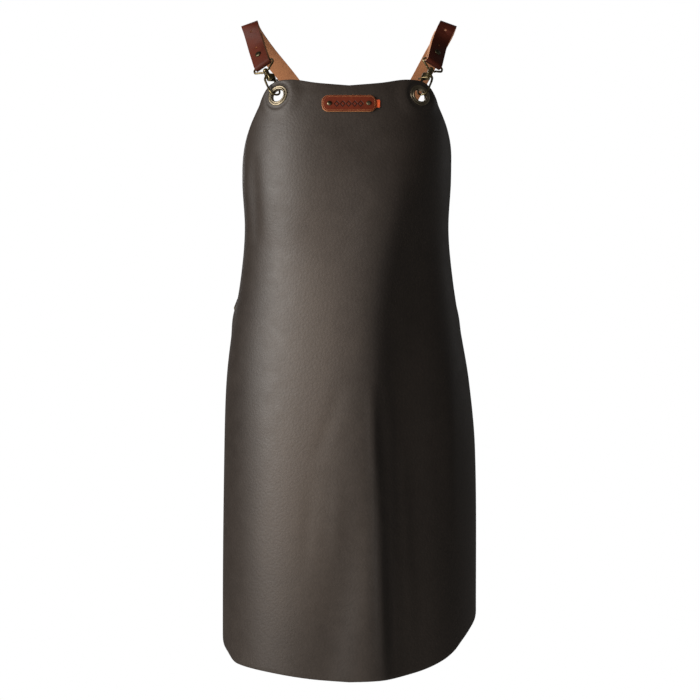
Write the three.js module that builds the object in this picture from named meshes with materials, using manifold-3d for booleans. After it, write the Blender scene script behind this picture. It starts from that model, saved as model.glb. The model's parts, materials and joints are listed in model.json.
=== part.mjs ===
// Leather welding apron with cross-back shoulder straps, clipped through four eyelets by swivel snaps.
// Millimetres. +Z up, the apron faces -Y, +X is the viewer's right. The origin lies midway between the
// two places where the straps rest on the wearer's shoulders.
import * as THREE from 'three';
import { mergeVertices } from 'three/addons/utils/BufferGeometryUtils.js';
import Module from 'manifold-3d';

const wasm = await Module();
wasm.setup();

// ---- driving dimensions -------------------------------------------------------------------------

const GAP = 0.35;              // clearance between pieces that touch on the real object

const LEATHER = 1.8;           // thickness of the apron leather
const CELL = 24;               // spacing of the leather's bending lines
const FINE_CELL = 11;          // the same, around an eyelet

const EYELET = { outer: 15.5, inner: 9.25, wall: 0.75, flange: 1.5, lip: 0.9, lipReach: 2.3 };
const WASHER_THICK = 1.0;
const EYELET_SEAT = 17;        // radius around an eyelet where the leather lies flat
const EYELET_SPREAD = 38;      // radius where the leather has its own bend back
const CHEST_EYELET = { s: 103, z: -114 };
const WAIST_EYELET = { s: 240, z: -423 };

const BADGE = { length: 76, height: 23.5, thick: 2.4, corner: 9, z: -128 };
const BADGE_RIVET = { spacing: 55, head: 3.3, dome: 1.3, post: 1.3, cap: 3.2, capThick: 1.3 };
const TAG = { tucked: 6, showing: 5.5, height: 11, thick: 0.8 };

const STRAP = { width: 25, thick: 3 };
const STRAP_STEP = 8;          // spacing of a strap's bending lines
const FRONT_TAIL = 58;        // length of the strap folded back behind its front run
const REAR_TAIL = 46;
const STRAP_STRAIGHT = 36;     // straight run of a strap beside its stud
const STUD = { at: 19, head: 4.6, dome: 2.1, post: 1.9, cap: 4.4, capThick: 1.4 };
const PUNCHED = { radius: 1.5, first: 34, pitch: 28, count: 2 };

const SHOULDER = { x: 143, z: -5, restLength: 28, slope: 20 };
const CROSSING = { x: 19, y: 99, z: -214 };

const LOOP = { width: STRAP.width + 7, drop: 13, corner: 3.2, wire: 1.5 };
const SWIVEL = { barrel: 4, bore: 2.35, top: -11, bottom: -18.6, post: 2, head: 3.2, headThick: 1.4 };
const HOOK = { reach: 58, half: 8.2, wire: 1.9, collar: 4.2, collarThick: 2.2 };
const HOUSING = { outer: -9.6, inner: 2.2, half: 3.6, bottom: -29.6, slotHalf: 1.9, slotTop: -23.4 };
const PIVOT = { x: -6.4, z: -26.4, pin: 1, hole: 1.2, eye: 2.3 };
const GATE = { thick: 2.5, half: 1.6, tabReach: 5.6, tabThick: 2.2 };
const SPRING = { radius: 1.75, wire: 0.4, at: 1.2 };
const RING_PLAY = 3.7;         // how far the hook has been drawn off the eyelet's centre

const ROUND = 24;              // facets around an eyelet
const SMALL_ROUND = 12;        // facets around a rivet, stud or swivel
const WIRE_ROUND = 8;          // facets around a wire

// ---- materials ----------------------------------------------------------------------------------

const paint = (color, roughness, metalness = 0) =>
  new THREE.MeshStandardMaterial({ color, roughness, metalness });
const APRON_LEATHER = paint(0x332a25, 0.55);
const STRAP_LEATHER = paint(0x52200f, 0.5);
const ANTIQUE_BRASS = paint(0x84754f, 0.38, 1);
const TAG_WEAVE = paint(0xe0622c, 0.85);

// ---- small helpers ------------------------------------------------------------------------------

const vec = (x, y, z) => new THREE.Vector3(x, y, z);
const mix = THREE.MathUtils.lerp;
const rad = THREE.MathUtils.degToRad;
const ease = (x, from, to) => THREE.MathUtils.smoothstep(x, from, to);

/** A three.js geometry as a solid that can be joined and cut. */
function solid(geometry) {
  const bare = new THREE.BufferGeometry();
  const source = geometry.index ? geometry.toNonIndexed() : geometry;
  bare.setAttribute('position', source.getAttribute('position').clone());
  const welded = mergeVertices(bare, 1e-4);
  const triVerts = [];
  for (let i = 0; i < welded.index.count; i += 3) {
    const [a, b, c] = [0, 1, 2].map((k) => welded.index.getX(i + k));
    if (a !== b && b !== c && c !== a) triVerts.push(a, b, c);
  }
  return new wasm.Manifold(new wasm.Mesh({
    numProp: 3,
    vertProperties: Float32Array.from(welded.getAttribute('position').array),
    triVerts: Uint32Array.from(triVerts),
  }));
}

/** A solid as a three.js geometry. */
function geometryOf(body) {
  const mesh = body.getMesh();
  const geometry = new THREE.BufferGeometry();
  const points = new Float32Array(mesh.numVert * 3);
  for (let i = 0; i < mesh.numVert; i += 1) {
    for (let k = 0; k < 3; k += 1) points[i * 3 + k] = mesh.vertProperties[i * mesh.numProp + k];
  }
  geometry.setAttribute('position', new THREE.BufferAttribute(points, 3));
  geometry.setIndex(new THREE.BufferAttribute(Uint32Array.from(mesh.triVerts), 1));
  return geometry;
}

/** A body of revolution about Z from [radius, height] pairs, closed on the axis or on itself. */
function turned(profile, facets) {
  const onAxis = profile[0][0] === 0;
  const outline = (onAxis ? profile : [...profile, profile[0]]).map(([r, h]) => new THREE.Vector2(r, h));
  const geometry = new THREE.LatheGeometry(outline, facets);
  geometry.rotateX(Math.PI / 2);
  return outwards(geometry);
}

/** The same geometry with its faces turned outwards. */
function outwards(geometry) {
  const at = geometry.getAttribute('position');
  const index = geometry.index ? Array.from(geometry.index.array) : [...Array(at.count).keys()];
  const corner = [vec(0, 0, 0), vec(0, 0, 0), vec(0, 0, 0)];
  let volume = 0;
  for (let i = 0; i < index.length; i += 3) {
    corner.forEach((point, k) => point.fromBufferAttribute(at, index[i + k]));
    volume += corner[0].dot(corner[1].clone().cross(corner[2]));
  }
  if (volume < 0) {
    for (let i = 0; i < index.length; i += 3) [index[i], index[i + 1]] = [index[i + 1], index[i]];
  }
  geometry.setIndex(index);
  return geometry;
}

/** A straight round bar along Z. */
function bar(radius, from, to, facets = SMALL_ROUND) {
  return turned([[0, from], [radius, from], [radius, to], [0, to]], facets);
}

/** A block between two corners. */
function block(low, high) {
  const size = high.clone().sub(low);
  const geometry = new THREE.BoxGeometry(size.x, size.y, size.z);
  return geometry.translate(...low.clone().add(high).multiplyScalar(0.5).toArray());
}

/** Sweeps a convex section ([across, outward] pairs) along stations { at, across, normal }. */
function swept(stations, section, closed = false) {
  const points = [];
  for (const { at, across, normal } of stations) {
    for (const [u, v] of section) {
      points.push(...at.clone().addScaledVector(across, u).addScaledVector(normal, v).toArray());
    }
  }
  const n = section.length;
  const index = [];
  const runs = closed ? stations.length : stations.length - 1;
  for (let i = 0; i < runs; i += 1) {
    const next = (i + 1) % stations.length;
    for (let k = 0; k < n; k += 1) {
      const [a, b] = [i * n + k, i * n + ((k + 1) % n)];
      const [c, d] = [next * n + k, next * n + ((k + 1) % n)];
      index.push(a, b, d, a, d, c);
    }
  }
  const last = (stations.length - 1) * n;
  for (let k = 1; !closed && k < n - 1; k += 1) {
    index.push(0, k + 1, k, last, last + k, last + k + 1);
  }
  const geometry = new THREE.BufferGeometry();
  geometry.setAttribute('position', new THREE.Float32BufferAttribute(points, 3));
  geometry.setIndex(index);
  return outwards(geometry);
}

/** A round section for swept(). */
function roundSection(radius, facets = WIRE_ROUND) {
  return [...Array(facets).keys()].map((k) => {
    const turn = (2 * Math.PI * (k + 0.5)) / facets;
    return [radius * Math.cos(turn), radius * Math.sin(turn)];
  });
}

/** Stations for a wire bent in the XZ plane, from [x, z] pairs. */
function flatWire(path, closed = false) {
  return path.map(([x, z], i) => {
    const before = path[closed ? (i + path.length - 1) % path.length : Math.max(i - 1, 0)];
    const after = path[closed ? (i + 1) % path.length : Math.min(i + 1, path.length - 1)];
    const along = vec(after[0] - before[0], 0, after[1] - before[1]).normalize();
    return { at: vec(x, 0, z), across: vec(0, 1, 0), normal: along.clone().cross(vec(0, 1, 0)) };
  });
}

/** Points of an arc in the XZ plane, both ends included. */
function arc(x, z, radius, fromDeg, toDeg, steps) {
  return [...Array(steps + 1).keys()].map((i) => {
    const turn = rad(mix(fromDeg, toDeg, i / steps));
    return [x + radius * Math.cos(turn), z + radius * Math.sin(turn)];
  });
}

/** A smooth value through [position, value] pairs with rising positions. */
function through(pairs, at) {
  if (at <= pairs[0][0]) return pairs[0][1];
  if (at >= pairs.at(-1)[0]) return pairs.at(-1)[1];
  const i = pairs.findIndex(([position]) => position > at) - 1;
  const slope = (k) => {
    if (k === 0 || k === pairs.length - 1) return 0;
    return (pairs[k + 1][1] - pairs[k - 1][1]) / (pairs[k + 1][0] - pairs[k - 1][0]);
  };
  const span = pairs[i + 1][0] - pairs[i][0];
  const t = (at - pairs[i][0]) / span;
  const [a, b] = [pairs[i][1], pairs[i + 1][1]];
  const [da, db] = [slope(i) * span, slope(i + 1) * span];
  return a + da * t + (3 * (b - a) - 2 * da - db) * t * t + (2 * (a - b) + da + db) * t * t * t;
}

// ---- the wearer's form under the leather ----------------------------------------------------------

// Each list runs upwards: [height, value].
const FRONT_DEPTH = [[-940, 126], [-750, 125], [-570, 122], [-440, 115], [-345, 113], [-265, 117],
  [-185, 112], [-117, 99], [-90, 91]];
const HALF_WIDTH_LEFT = [[-850, 181], [-618, 179], [-517, 176], [-445, 168], [-373, 156], [-301, 150],
  [-229, 154], [-156, 151], [-90, 140]];
const HALF_WIDTH_RIGHT = [[-850, 182], [-618, 181], [-517, 172], [-445, 160], [-373, 149], [-301, 143],
  [-229, 147], [-156, 147], [-90, 140]];
const ROUNDNESS = [[-900, 1.55], [-450, 1.7], [-300, 1.85], [-90, 1.95]];
const CURL_LEFT = [[-900, 0.42], [-300, 0.5]];
const CURL_RIGHT = [[-900, 0.1], [-560, 0.16], [-400, 0.42]];

// The long soft ridge down the hanging leather: [height, place across], [height, how far it stands
// out] and its width to the left and to the right.
const RIDGE_LINE = [[-940, 45], [-770, 43], [-690, 38], [-600, 31], [-432, 34], [-350, 46], [-264, 66], [-180, 92]];
const RIDGE_RISE = [[-900, 10], [-600, 12], [-400, 11], [-264, 7], [-165, 0]];
const RIDGE_LEFT = [[-900, 62], [-400, 82], [-264, 74]];
const RIDGE_RIGHT = [[-900, 24], [-500, 31], [-264, 40]];

// Soft upright folds of the skirt: [place across at the top, at the hem, width left, width right,
// rise, height where it starts, height where it is full].
const FOLDS = [
  [108, 104, 34, 40, -4, -200, -420],
  [-30, -48, 30, 26, -6, -480, -700],
  [-85, -110, 34, 34, 3, -420, -720],
];

/** How far the leather turns from facing forwards, at arc length s from the centre line. */
function turnAt(s, z) {
  const half = through(s < 0 ? HALF_WIDTH_LEFT : HALF_WIDTH_RIGHT, z);
  const power = through(ROUNDNESS, z);
  const curl = through(s < 0 ? CURL_LEFT : CURL_RIGHT, z);
  const share = 0.47 + 0.25 * (power - 0.5) ** 0.62;
  const t = (Math.abs(s) * share) / half;
  const quarter = Math.PI / 2;
  if (t <= 1) return quarter * t ** power;
  return quarter + curl * (1 - Math.exp((-(t - 1) * power * quarter) / curl));
}

/** How far the ridge and the folds lift the leather at (s, z). */
function foldRise(s, z) {
  const line = through(RIDGE_LINE, z);
  const wide = through(s < line ? RIDGE_LEFT : RIDGE_RIGHT, z);
  const ridge = through(RIDGE_RISE, z) * Math.exp(-(((s - line) / wide) ** 2));
  return FOLDS.reduce((rise, [top, hem, left, right, height, start, full]) => {
    const centre = mix(top, hem, THREE.MathUtils.clamp((z - start) / (full - start), 0, 1.6));
    const width = s < centre ? left : right;
    return rise + height * ease(-z, -start, -full) * Math.exp(-(((s - centre) / width) ** 2));
  }, ridge);
}

const SECTION_STEPS = 28;

/** The point of the leather's middle surface at arc length s and height z, before it is seated. */
function formPoint(s, z) {
  const side = Math.sign(s);
  const step = Math.abs(s) / SECTION_STEPS;
  let [x, y] = [0, 0];
  for (let i = 0; i < SECTION_STEPS; i += 1) {
    const turn = turnAt(side * (i + 0.5) * step, z);
    x += Math.cos(turn) * step;
    y += Math.sin(turn) * step;
  }
  const turn = turnAt(s, z);
  const rise = foldRise(s, z);
  return vec(
    side * (x + Math.sin(turn) * rise),
    y - through(FRONT_DEPTH, z) - Math.cos(turn) * rise,
    z,
  );
}

/** A frame on a surface function: at, across (+s), up and out (away from the wearer). */
function frameOn(surface, s, z) {
  const h = 0.5;
  const across = surface(s + h, z).sub(surface(s - h, z)).normalize();
  const rough = surface(s, z + h).sub(surface(s, z - h)).normalize();
  const out = across.clone().cross(rough).normalize();
  return { at: surface(s, z), across, up: out.clone().cross(across), out };
}

const EYELETS = {
  chest_left: { side: -1, ...CHEST_EYELET },
  chest_right: { side: 1, ...CHEST_EYELET },
  waist_left: { side: -1, ...WAIST_EYELET },
  waist_right: { side: 1, ...WAIST_EYELET },
};
for (const eyelet of Object.values(EYELETS)) {
  eyelet.centre = eyelet.side * eyelet.s;
  eyelet.frame = frameOn(formPoint, eyelet.centre, eyelet.z);
}

/** The leather's middle surface, lying flat under each eyelet. */
function leatherPoint(s, z) {
  let point = formPoint(s, z);
  for (const { centre, z: height, frame } of Object.values(EYELETS)) {
    const away = Math.hypot(s - centre, z - height);
    if (away >= EYELET_SPREAD) continue;
    const flat = frame.at.clone()
      .addScaledVector(frame.across, s - centre)
      .addScaledVector(frame.up, (z - height) / Math.max(frame.up.z, 0.5));
    point = flat.lerp(point, ease(away, EYELET_SEAT, EYELET_SPREAD));
  }
  return point;
}

/** Bends a flat geometry (x = arc length, y = height, z = distance off the middle surface). */
function bentToForm(geometry) {
  const at = geometry.getAttribute('position');
  for (let i = 0; i < at.count; i += 1) {
    const frame = frameOn(leatherPoint, at.getX(i), at.getY(i));
    const off = at.getZ(i) - dished(at.getX(i), at.getY(i));
    const point = leatherPoint(at.getX(i), at.getY(i)).addScaledVector(frame.out, off);
    at.setXYZ(i, point.x, point.y, point.z);
  }
  return geometry;
}

// ---- the apron leather ----------------------------------------------------------------------------

/** The edge of the flat leather, drawn from the left waist corner round the neck, side and hem. */
function apronOutline() {
  const armhole = [[264, -416], [257, -405], [244, -400], [233, -388], [227, -350], [215, -280],
    [198, -220], [180, -186], [162, -160], [144, -135], [132, -117]];
  const corner = [[124.5, -104], [117, -96.5], [104, -92]];
  const neck = [[76, -92], [45, -97], [0, -101]];
  const side = (points, sign) => points.map(([s, z]) => new THREE.Vector2(sign * s, z));
  const shape = new THREE.Shape();
  shape.moveTo(-265, -425);
  shape.splineThru(side([...armhole, ...corner, ...neck], -1));
  shape.splineThru(side([...corner.concat(neck.slice(0, 2)).reverse()], 1));
  shape.splineThru(side([...armhole].reverse(), 1));
  shape.lineTo(265, -425);
  shape.lineTo(265, -760);
  shape.splineThru(side([[262, -800], [250, -842], [235, -857], [205, -871], [180, -886], [160, -901],
    [135, -914], [100, -925.5], [50, -934], [0, -937]], 1));
  shape.splineThru(side([[50, -934.5], [120, -926], [165, -921], [185, -917], [205, -906], [235, -893],
    [252, -872], [262, -846], [265, -810]], -1));
  shape.closePath();
  return shape;
}

/** Rising grid positions from low to high, closer together near the listed places. */
function gridLines(low, high, places) {
  const lines = [low];
  while (lines.at(-1) < high) {
    const at = lines.at(-1);
    const near = places.some((place) => Math.abs(at + FINE_CELL / 2 - place) < EYELET_SPREAD * 0.8);
    lines.push(at + (near ? FINE_CELL : CELL));
  }
  return lines;
}

// A flat slab is dished by this much before it is cut, so that its bending lines outlast the cut.
const DISH = 4e-5;
const dished = (s, z) => DISH * (s * s + z * z);
const REACH = 60;              // half height of a cutter, enough to pass right through a dished slab

/** A closed slab with bending lines at the given places, between two distances off the middle. */
function griddedSlab(across, heights, back, front) {
  const columns = across.length;
  const layer = columns * heights.length;
  const points = [];
  for (const off of [back, front]) {
    for (const z of heights) for (const s of across) points.push(s, z, off + dished(s, z));
  }
  const index = [];
  const quad = (a, b, c, d) => index.push(a, b, c, a, c, d);
  for (let j = 0; j < heights.length - 1; j += 1) {
    for (let i = 0; i < columns - 1; i += 1) {
      const a = j * columns + i;
      quad(layer + a, layer + a + 1, layer + a + columns + 1, layer + a + columns);
      quad(a + columns, a + columns + 1, a + 1, a);
    }
  }
  const rim = [];
  for (let i = 0; i < columns - 1; i += 1) rim.push(i);
  for (let j = 0; j < heights.length - 1; j += 1) rim.push(j * columns + columns - 1);
  for (let i = columns - 1; i > 0; i -= 1) rim.push((heights.length - 1) * columns + i);
  for (let j = heights.length - 1; j > 0; j -= 1) rim.push(j * columns);
  rim.forEach((a, k) => {
    const b = rim[(k + 1) % rim.length];
    quad(a, b, layer + b, layer + a);
  });
  const geometry = new THREE.BufferGeometry();
  geometry.setAttribute('position', new THREE.Float32BufferAttribute(points, 3));
  geometry.setIndex(index);
  return outwards(geometry);
}

/** A flat shape given thickness between two distances off the middle surface. */
function plate(shape, back, front, curveSegments = 3) {
  const geometry = new THREE.ExtrudeGeometry(shape, { depth: front - back, bevelEnabled: false, curveSegments });
  return geometry.translate(0, 0, back);
}

/** The apron's leather with its eyelet and rivet holes. */
function apronPanel() {
  const half = LEATHER / 2;
  const eyelets = Object.values(EYELETS);
  const across = gridLines(-276, 276, eyelets.map(({ centre }) => centre));
  const heights = gridLines(-950, -80, [CHEST_EYELET.z, WAIST_EYELET.z]);
  let panel = solid(griddedSlab(across, heights, -half, half));
  panel = panel.intersect(solid(plate(apronOutline(), -REACH, REACH)));
  const hole = EYELET.inner + EYELET.wall + GAP;
  for (const { centre, z } of eyelets) {
    panel = panel.subtract(solid(bar(hole, -REACH, REACH, ROUND).translate(centre, z, 0)));
  }
  for (const side of [-1, 1]) {
    const post = bar(BADGE_RIVET.post + GAP, -REACH, REACH, SMALL_ROUND);
    panel = panel.subtract(solid(post.translate((side * BADGE_RIVET.spacing) / 2, BADGE.z, 0)));
  }
  return bentToForm(geometryOf(panel));
}

// ---- eyelets --------------------------------------------------------------------------------------

/** Moves a geometry made about +Z so that +Z points along out, at a frame's place. */
function seatedOn(geometry, { at, across, up, out }) {
  return geometry.applyMatrix4(new THREE.Matrix4().makeBasis(across, up, out).setPosition(at));
}

/** The visible part of an eyelet: rolled flange, barrel and the lip turned over its washer. */
function eyeletBody() {
  const { inner, outer, wall, flange, lip, lipReach } = EYELET;
  const seat = LEATHER / 2 + GAP;
  const back = -LEATHER / 2 - 2 * GAP - WASHER_THICK;
  return turned([
    [inner, back - lip * 0.6], [inner, seat + flange * 0.35], [inner + 1.2, seat + flange],
    [outer - 2.4, seat + flange], [outer, seat], [inner + wall, seat], [inner + wall, back],
    [inner + lipReach, back], [inner + lipReach - 0.5, back - lip], [inner + 0.7, back - lip],
  ], ROUND);
}

/** The loose ring behind the leather that an eyelet's lip is turned over. */
function eyeletWasher() {
  const front = -LEATHER / 2 - GAP;
  const bore = EYELET.inner + EYELET.wall + GAP;
  return turned([[bore, front], [EYELET.outer - 0.4, front], [EYELET.outer - 1.2, front - WASHER_THICK],
    [bore, front - WASHER_THICK]], ROUND);
}

// ---- badge and tag --------------------------------------------------------------------------------

const BADGE_BACK = LEATHER / 2 + GAP;

/** A rectangle with rounded corners about a centre. */
function roundedShape(length, height, corner, x, y) {
  const [l, b] = [x - length / 2, y - height / 2];
  const [r, t] = [l + length, b + height];
  const shape = new THREE.Shape();
  shape.moveTo(l + corner, b);
  shape.lineTo(r - corner, b);
  shape.quadraticCurveTo(r, b, r, b + corner);
  shape.lineTo(r, t - corner);
  shape.quadraticCurveTo(r, t, r - corner, t);
  shape.lineTo(l + corner, t);
  shape.quadraticCurveTo(l, t, l, t - corner);
  shape.lineTo(l, b + corner);
  shape.quadraticCurveTo(l, b, l + corner, b);
  return shape;
}

/** The small leather badge, hollowed behind where the tag is tucked in. */
function badgePatch() {
  const { length, height, thick, corner, z } = BADGE;
  const across = [-39, -26, -13, 0, 13, 26, 39].map((s) => (s / 39) * (length / 2 + 1));
  const rows = [z - height / 2 - 1, z, z + height / 2 + 1];
  let badge = solid(griddedSlab(across, rows, BADGE_BACK, BADGE_BACK + thick));
  badge = badge.intersect(solid(plate(roundedShape(length, height, corner, 0, z), -REACH, REACH, 4)));
  const pocket = block(
    vec(length / 2 - TAG.tucked - GAP, z - TAG.height / 2 - GAP, 0),
    vec(length, z + TAG.height / 2 + GAP, BADGE_BACK + TAG.thick + GAP + dished(length / 2, z)),
  );
  badge = badge.subtract(solid(pocket));
  for (const side of [-1, 1]) {
    const hole = bar(BADGE_RIVET.post + GAP, -REACH, REACH, SMALL_ROUND);
    badge = badge.subtract(solid(hole.translate((side * BADGE_RIVET.spacing) / 2, z, 0)));
  }
  return bentToForm(geometryOf(badge));
}

/** The woven tag that shows at the badge's right end. */
function sideTag() {
  const from = BADGE.length / 2 - TAG.tucked;
  const middle = BADGE.length / 2;
  const rows = [BADGE.z - TAG.height / 2, BADGE.z, BADGE.z + TAG.height / 2];
  return bentToForm(griddedSlab([from, middle, middle + TAG.showing], rows, BADGE_BACK, BADGE_BACK + TAG.thick));
}

/** A domed head with its post, made about +Z with the head's underside at zero. */
function domedPost({ head, dome, post }, length) {
  return turned([[0, dome], [head * 0.55, dome * 0.86], [head * 0.9, dome * 0.45], [head, 0],
    [post, 0], [post, -length], [0, -length]], SMALL_ROUND);
}

/** The cap that closes a post behind the leather; its socket faces the post. */
function backCap({ post, cap, capThick }, length, seat) {
  const bore = post + GAP;
  const floor = -length - GAP;
  return turned([[0, floor], [bore, floor], [bore, seat], [cap * 0.85, seat], [cap, seat - capThick * 0.4],
    [cap * 0.8, floor - capThick * 0.6], [0, floor - capThick * 0.6]], SMALL_ROUND);
}

// ---- swivel snaps ---------------------------------------------------------------------------------

// A snap is made with the strap's bar along X at the origin, the strap leaving along +Z, the hook
// hanging along -Z and -Y facing away from the wearer.

/** The wire loop that the strap folds round, with the swivel's barrel. */
function snapLoop() {
  const { width, drop, corner, wire } = LOOP;
  const [x, z] = [width / 2 - corner, corner];
  const path = [
    ...arc(x, -z, corner, 90, 0, 3), ...arc(x, -drop + z, corner, 0, -90, 3),
    ...arc(-x, -drop + z, corner, -90, -180, 3), ...arc(-x, -z, corner, 180, 90, 3),
  ];
  const { barrel, bore, top, bottom } = SWIVEL;
  const shell = turned([[0, bottom], [barrel * 0.85, bottom], [barrel, bottom + 1.2], [barrel, top - 1],
    [barrel * 0.8, top], [0, top]], SMALL_ROUND);
  return geometryOf(solid(swept(flatWire(path, true), roundSection(wire), true))
    .add(solid(shell))
    .subtract(solid(bar(bore, bottom - 1, top + 2))));
}

/** The hook's wire: shoulder, long side, the round bottom and its short tip. */
function hookWire() {
  const { reach, half, wire } = HOOK;
  const centre = -(reach - half);
  const path = [[0.5, -22.6], [half * 0.62, -25], [half * 0.93, -28.6],
    ...arc(0, centre, half, 0, -180, 9), [-half, centre + 2.6]];
  return swept(flatWire(path), roundSection(wire));
}

/** The hook: headed post that turns in the barrel, collar, gate housing and wire. */
function snapHook() {
  const { post, head, headThick, top, bottom } = SWIVEL;
  const { collar, collarThick } = HOOK;
  const under = top + GAP;
  const foot = bottom - GAP;
  const stem = turned([[0, under + headThick], [head * 0.8, under + headThick], [head, under + headThick * 0.4],
    [head, under], [post, under], [post, foot], [collar, foot], [collar, foot - collarThick],
    [collar * 0.7, foot - collarThick - 1.6], [0, foot - collarThick - 1.6]], SMALL_ROUND);
  const cheeks = block(
    vec(HOUSING.outer, -HOUSING.half, HOUSING.bottom),
    vec(HOUSING.inner, HOUSING.half, foot - 0.6),
  );
  const slot = block(
    vec(HOUSING.outer - 4, -HOUSING.slotHalf, HOUSING.bottom - 4),
    vec(PIVOT.x + PIVOT.eye + 1.2, HOUSING.slotHalf, HOUSING.slotTop),
  );
  return geometryOf(solid(cheeks)
    .subtract(solid(slot))
    .add(solid(stem))
    .add(solid(hookWire()))
    .subtract(solid(crossBar(PIVOT.hole, HOUSING.half + 1))));
}

/** A round bar through the gate's pivot, across the hook. */
function crossBar(radius, half) {
  return bar(radius, -half, half).rotateX(Math.PI / 2).translate(PIVOT.x, 0, PIVOT.z);
}

/** The sprung gate with its eye and thumb tab. */
function snapGate() {
  const { thick, half, tabReach, tabThick } = GATE;
  const tip = -(HOOK.reach - HOOK.half) + 2.6 + GAP;
  const eye = bar(PIVOT.eye, -half, SPRING.at - SPRING.wire - GAP).rotateX(-Math.PI / 2)
    .translate(PIVOT.x, 0, PIVOT.z);
  const under = PIVOT.z - PIVOT.eye;
  const outer = -HOOK.half - thick / 2;
  const leaf = block(vec(outer, -half, tip), vec(outer + thick, half, under + 0.1));
  const neck = block(vec(outer, -half, under - 1), vec(PIVOT.x + 1, 0.2, PIVOT.z));
  const tab = block(vec(outer - tabReach, -half, PIVOT.z - 3.4), vec(outer + 1, 0.2, PIVOT.z - 3.4 + tabThick));
  return geometryOf(solid(eye).add(solid(leaf)).add(solid(neck)).add(solid(tab))
    .subtract(solid(crossBar(PIVOT.pin + GAP, half + 2))));
}

/** The small coil that shuts the gate, round its pin. */
function gateSpring() {
  const { radius, wire, at } = SPRING;
  const ring = turned(roundSection(wire, 6).map(([u, v]) => [radius + u, v]), SMALL_ROUND);
  return ring.rotateX(Math.PI / 2).translate(PIVOT.x, at, PIVOT.z);
}

/** Where a snap hangs: the placing of its strap bar, worked out from the eyelet it holds. */
function snapPlace({ frame, side }, leanDeg, offDeg) {
  const lean = rad(leanDeg) * side;
  const off = rad(offDeg) * side;
  const within = (turn) => frame.across.clone().multiplyScalar(Math.sin(turn))
    .addScaledVector(frame.up, Math.cos(turn));
  const along = within(lean);
  const at = frame.at.clone()
    .addScaledVector(within(off), RING_PLAY)
    .addScaledVector(along, HOOK.reach);
  const inward = frame.out.clone().negate();
  const matrix = new THREE.Matrix4().makeBasis(inward.clone().cross(along), inward, along).setPosition(at);
  return { at, along, out: frame.out, matrix };
}

// ---- straps ---------------------------------------------------------------------------------------

/** The start of a strap at a snap's bar: straight run outside the bar, leaning by pitch degrees. */
function strapEnd(place, pitchDeg) {
  const across = place.out.clone().cross(place.along).negate();
  const along = place.along.clone().applyAxisAngle(across, rad(-pitchDeg));
  const out = place.out.clone().applyAxisAngle(across, rad(-pitchDeg));
  const centre = LOOP.wire + GAP + STRAP.thick / 2;
  return { bar: place.at, along, out, across, centre, foot: place.at.clone().addScaledVector(out, centre) };
}

/** The station list of a strap's main run, measured from its front bar to its rear bar. */
function mainRun(front, rear, side, backPoints) {
  const stations = [];
  const put = (at, along, wanted) => {
    const across = along.clone().cross(wanted).normalize();
    stations.push({ at, across, normal: across.clone().cross(along).normalize() });
  };
  const straight = (end, distance, sign) =>
    put(end.foot.clone().addScaledVector(end.along, distance), end.along.clone().multiplyScalar(sign), end.out);
  for (let d = 0; d <= STRAP_STRAIGHT; d += STRAP_STRAIGHT / 4) straight(front, d, 1);

  const slope = rad(SHOULDER.slope);
  const up = vec(side * Math.sin(slope), 0, Math.cos(slope));
  const rest = vec(side * SHOULDER.x, 0, SHOULDER.z).addScaledVector(up, STRAP.thick / 2);
  const crown = [-0.5, 0.5].map((end) => rest.clone().add(vec(0, end * SHOULDER.restLength, 0)));
  const leave = front.foot.clone().addScaledVector(front.along, STRAP_STRAIGHT);
  const over = new THREE.CubicBezierCurve3(leave, leave.clone().addScaledVector(front.along, 13),
    crown[0].clone().add(vec(0, -10, 0)), crown[0]);
  const steps = Math.round(over.getLength() / STRAP_STEP);
  for (let i = 1; i < steps; i += 1) {
    const u = i / steps;
    put(over.getPoint(u), over.getTangent(u), front.out.clone().lerp(up, ease(u, 0, 1)).normalize());
  }
  for (const point of crown) put(point, vec(0, 1, 0), up);

  const arrive = rear.foot.clone().addScaledVector(rear.along, STRAP_STRAIGHT);
  const knots = [
    { at: crown[0], out: up }, { at: crown[1], out: up }, ...backPoints,
    { at: arrive, out: rear.out }, { at: rear.foot, out: rear.out },
  ];
  const back = new THREE.CatmullRomCurve3(knots.map(({ at }) => at), false, 'centripetal');
  for (let k = 1; k < knots.length - 2; k += 1) {
    const count = Math.max(2, Math.round(knots[k].at.distanceTo(knots[k + 1].at) / (STRAP_STEP * 1.4)));
    for (let i = k === 1 ? 1 : 0; i < count; i += 1) {
      const u = (k + i / count) / (knots.length - 1);
      const out = knots[k].out.clone().lerp(knots[k + 1].out, i / count).normalize();
      put(back.getPoint(u), back.getTangent(u), out);
    }
  }
  for (let d = STRAP_STRAIGHT; d >= 0; d -= STRAP_STRAIGHT / 4) straight(rear, d, -1);
  return stations;
}

/** Distance of each station along its run. */
function distances(stations) {
  let total = 0;
  return stations.map(({ at }, i) => {
    total += i ? at.distanceTo(stations[i - 1].at) : 0;
    return total;
  });
}

/** The folded-back layer behind the first part of a run, from the fold to its free end. */
function tail(stations, end, length) {
  const close = STRAP.thick + GAP;
  return stations.map((station, i) => ({ ...station, distance: distances(stations)[i] }))
    .filter(({ distance }) => distance > 0.1 && distance <= length)
    .map(({ at, across, normal, distance }) => ({
      at: at.clone().addScaledVector(normal, -mix(2 * end.centre, close, ease(distance, 0, STUD.at * 0.68))),
      across, normal,
    }));
}

/** Stations round the bar, from the folded-back layer to the main run. */
function foldRound(end, sign) {
  return arc(0, 0, end.centre, -90, -270, 8).map(([u, v]) => {
    const towards = end.out.clone().multiplyScalar(v).addScaledVector(end.along, u).normalize();
    return {
      at: end.bar.clone().addScaledVector(towards, end.centre),
      across: end.across.clone().multiplyScalar(sign),
      normal: towards,
    };
  });
}

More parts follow.
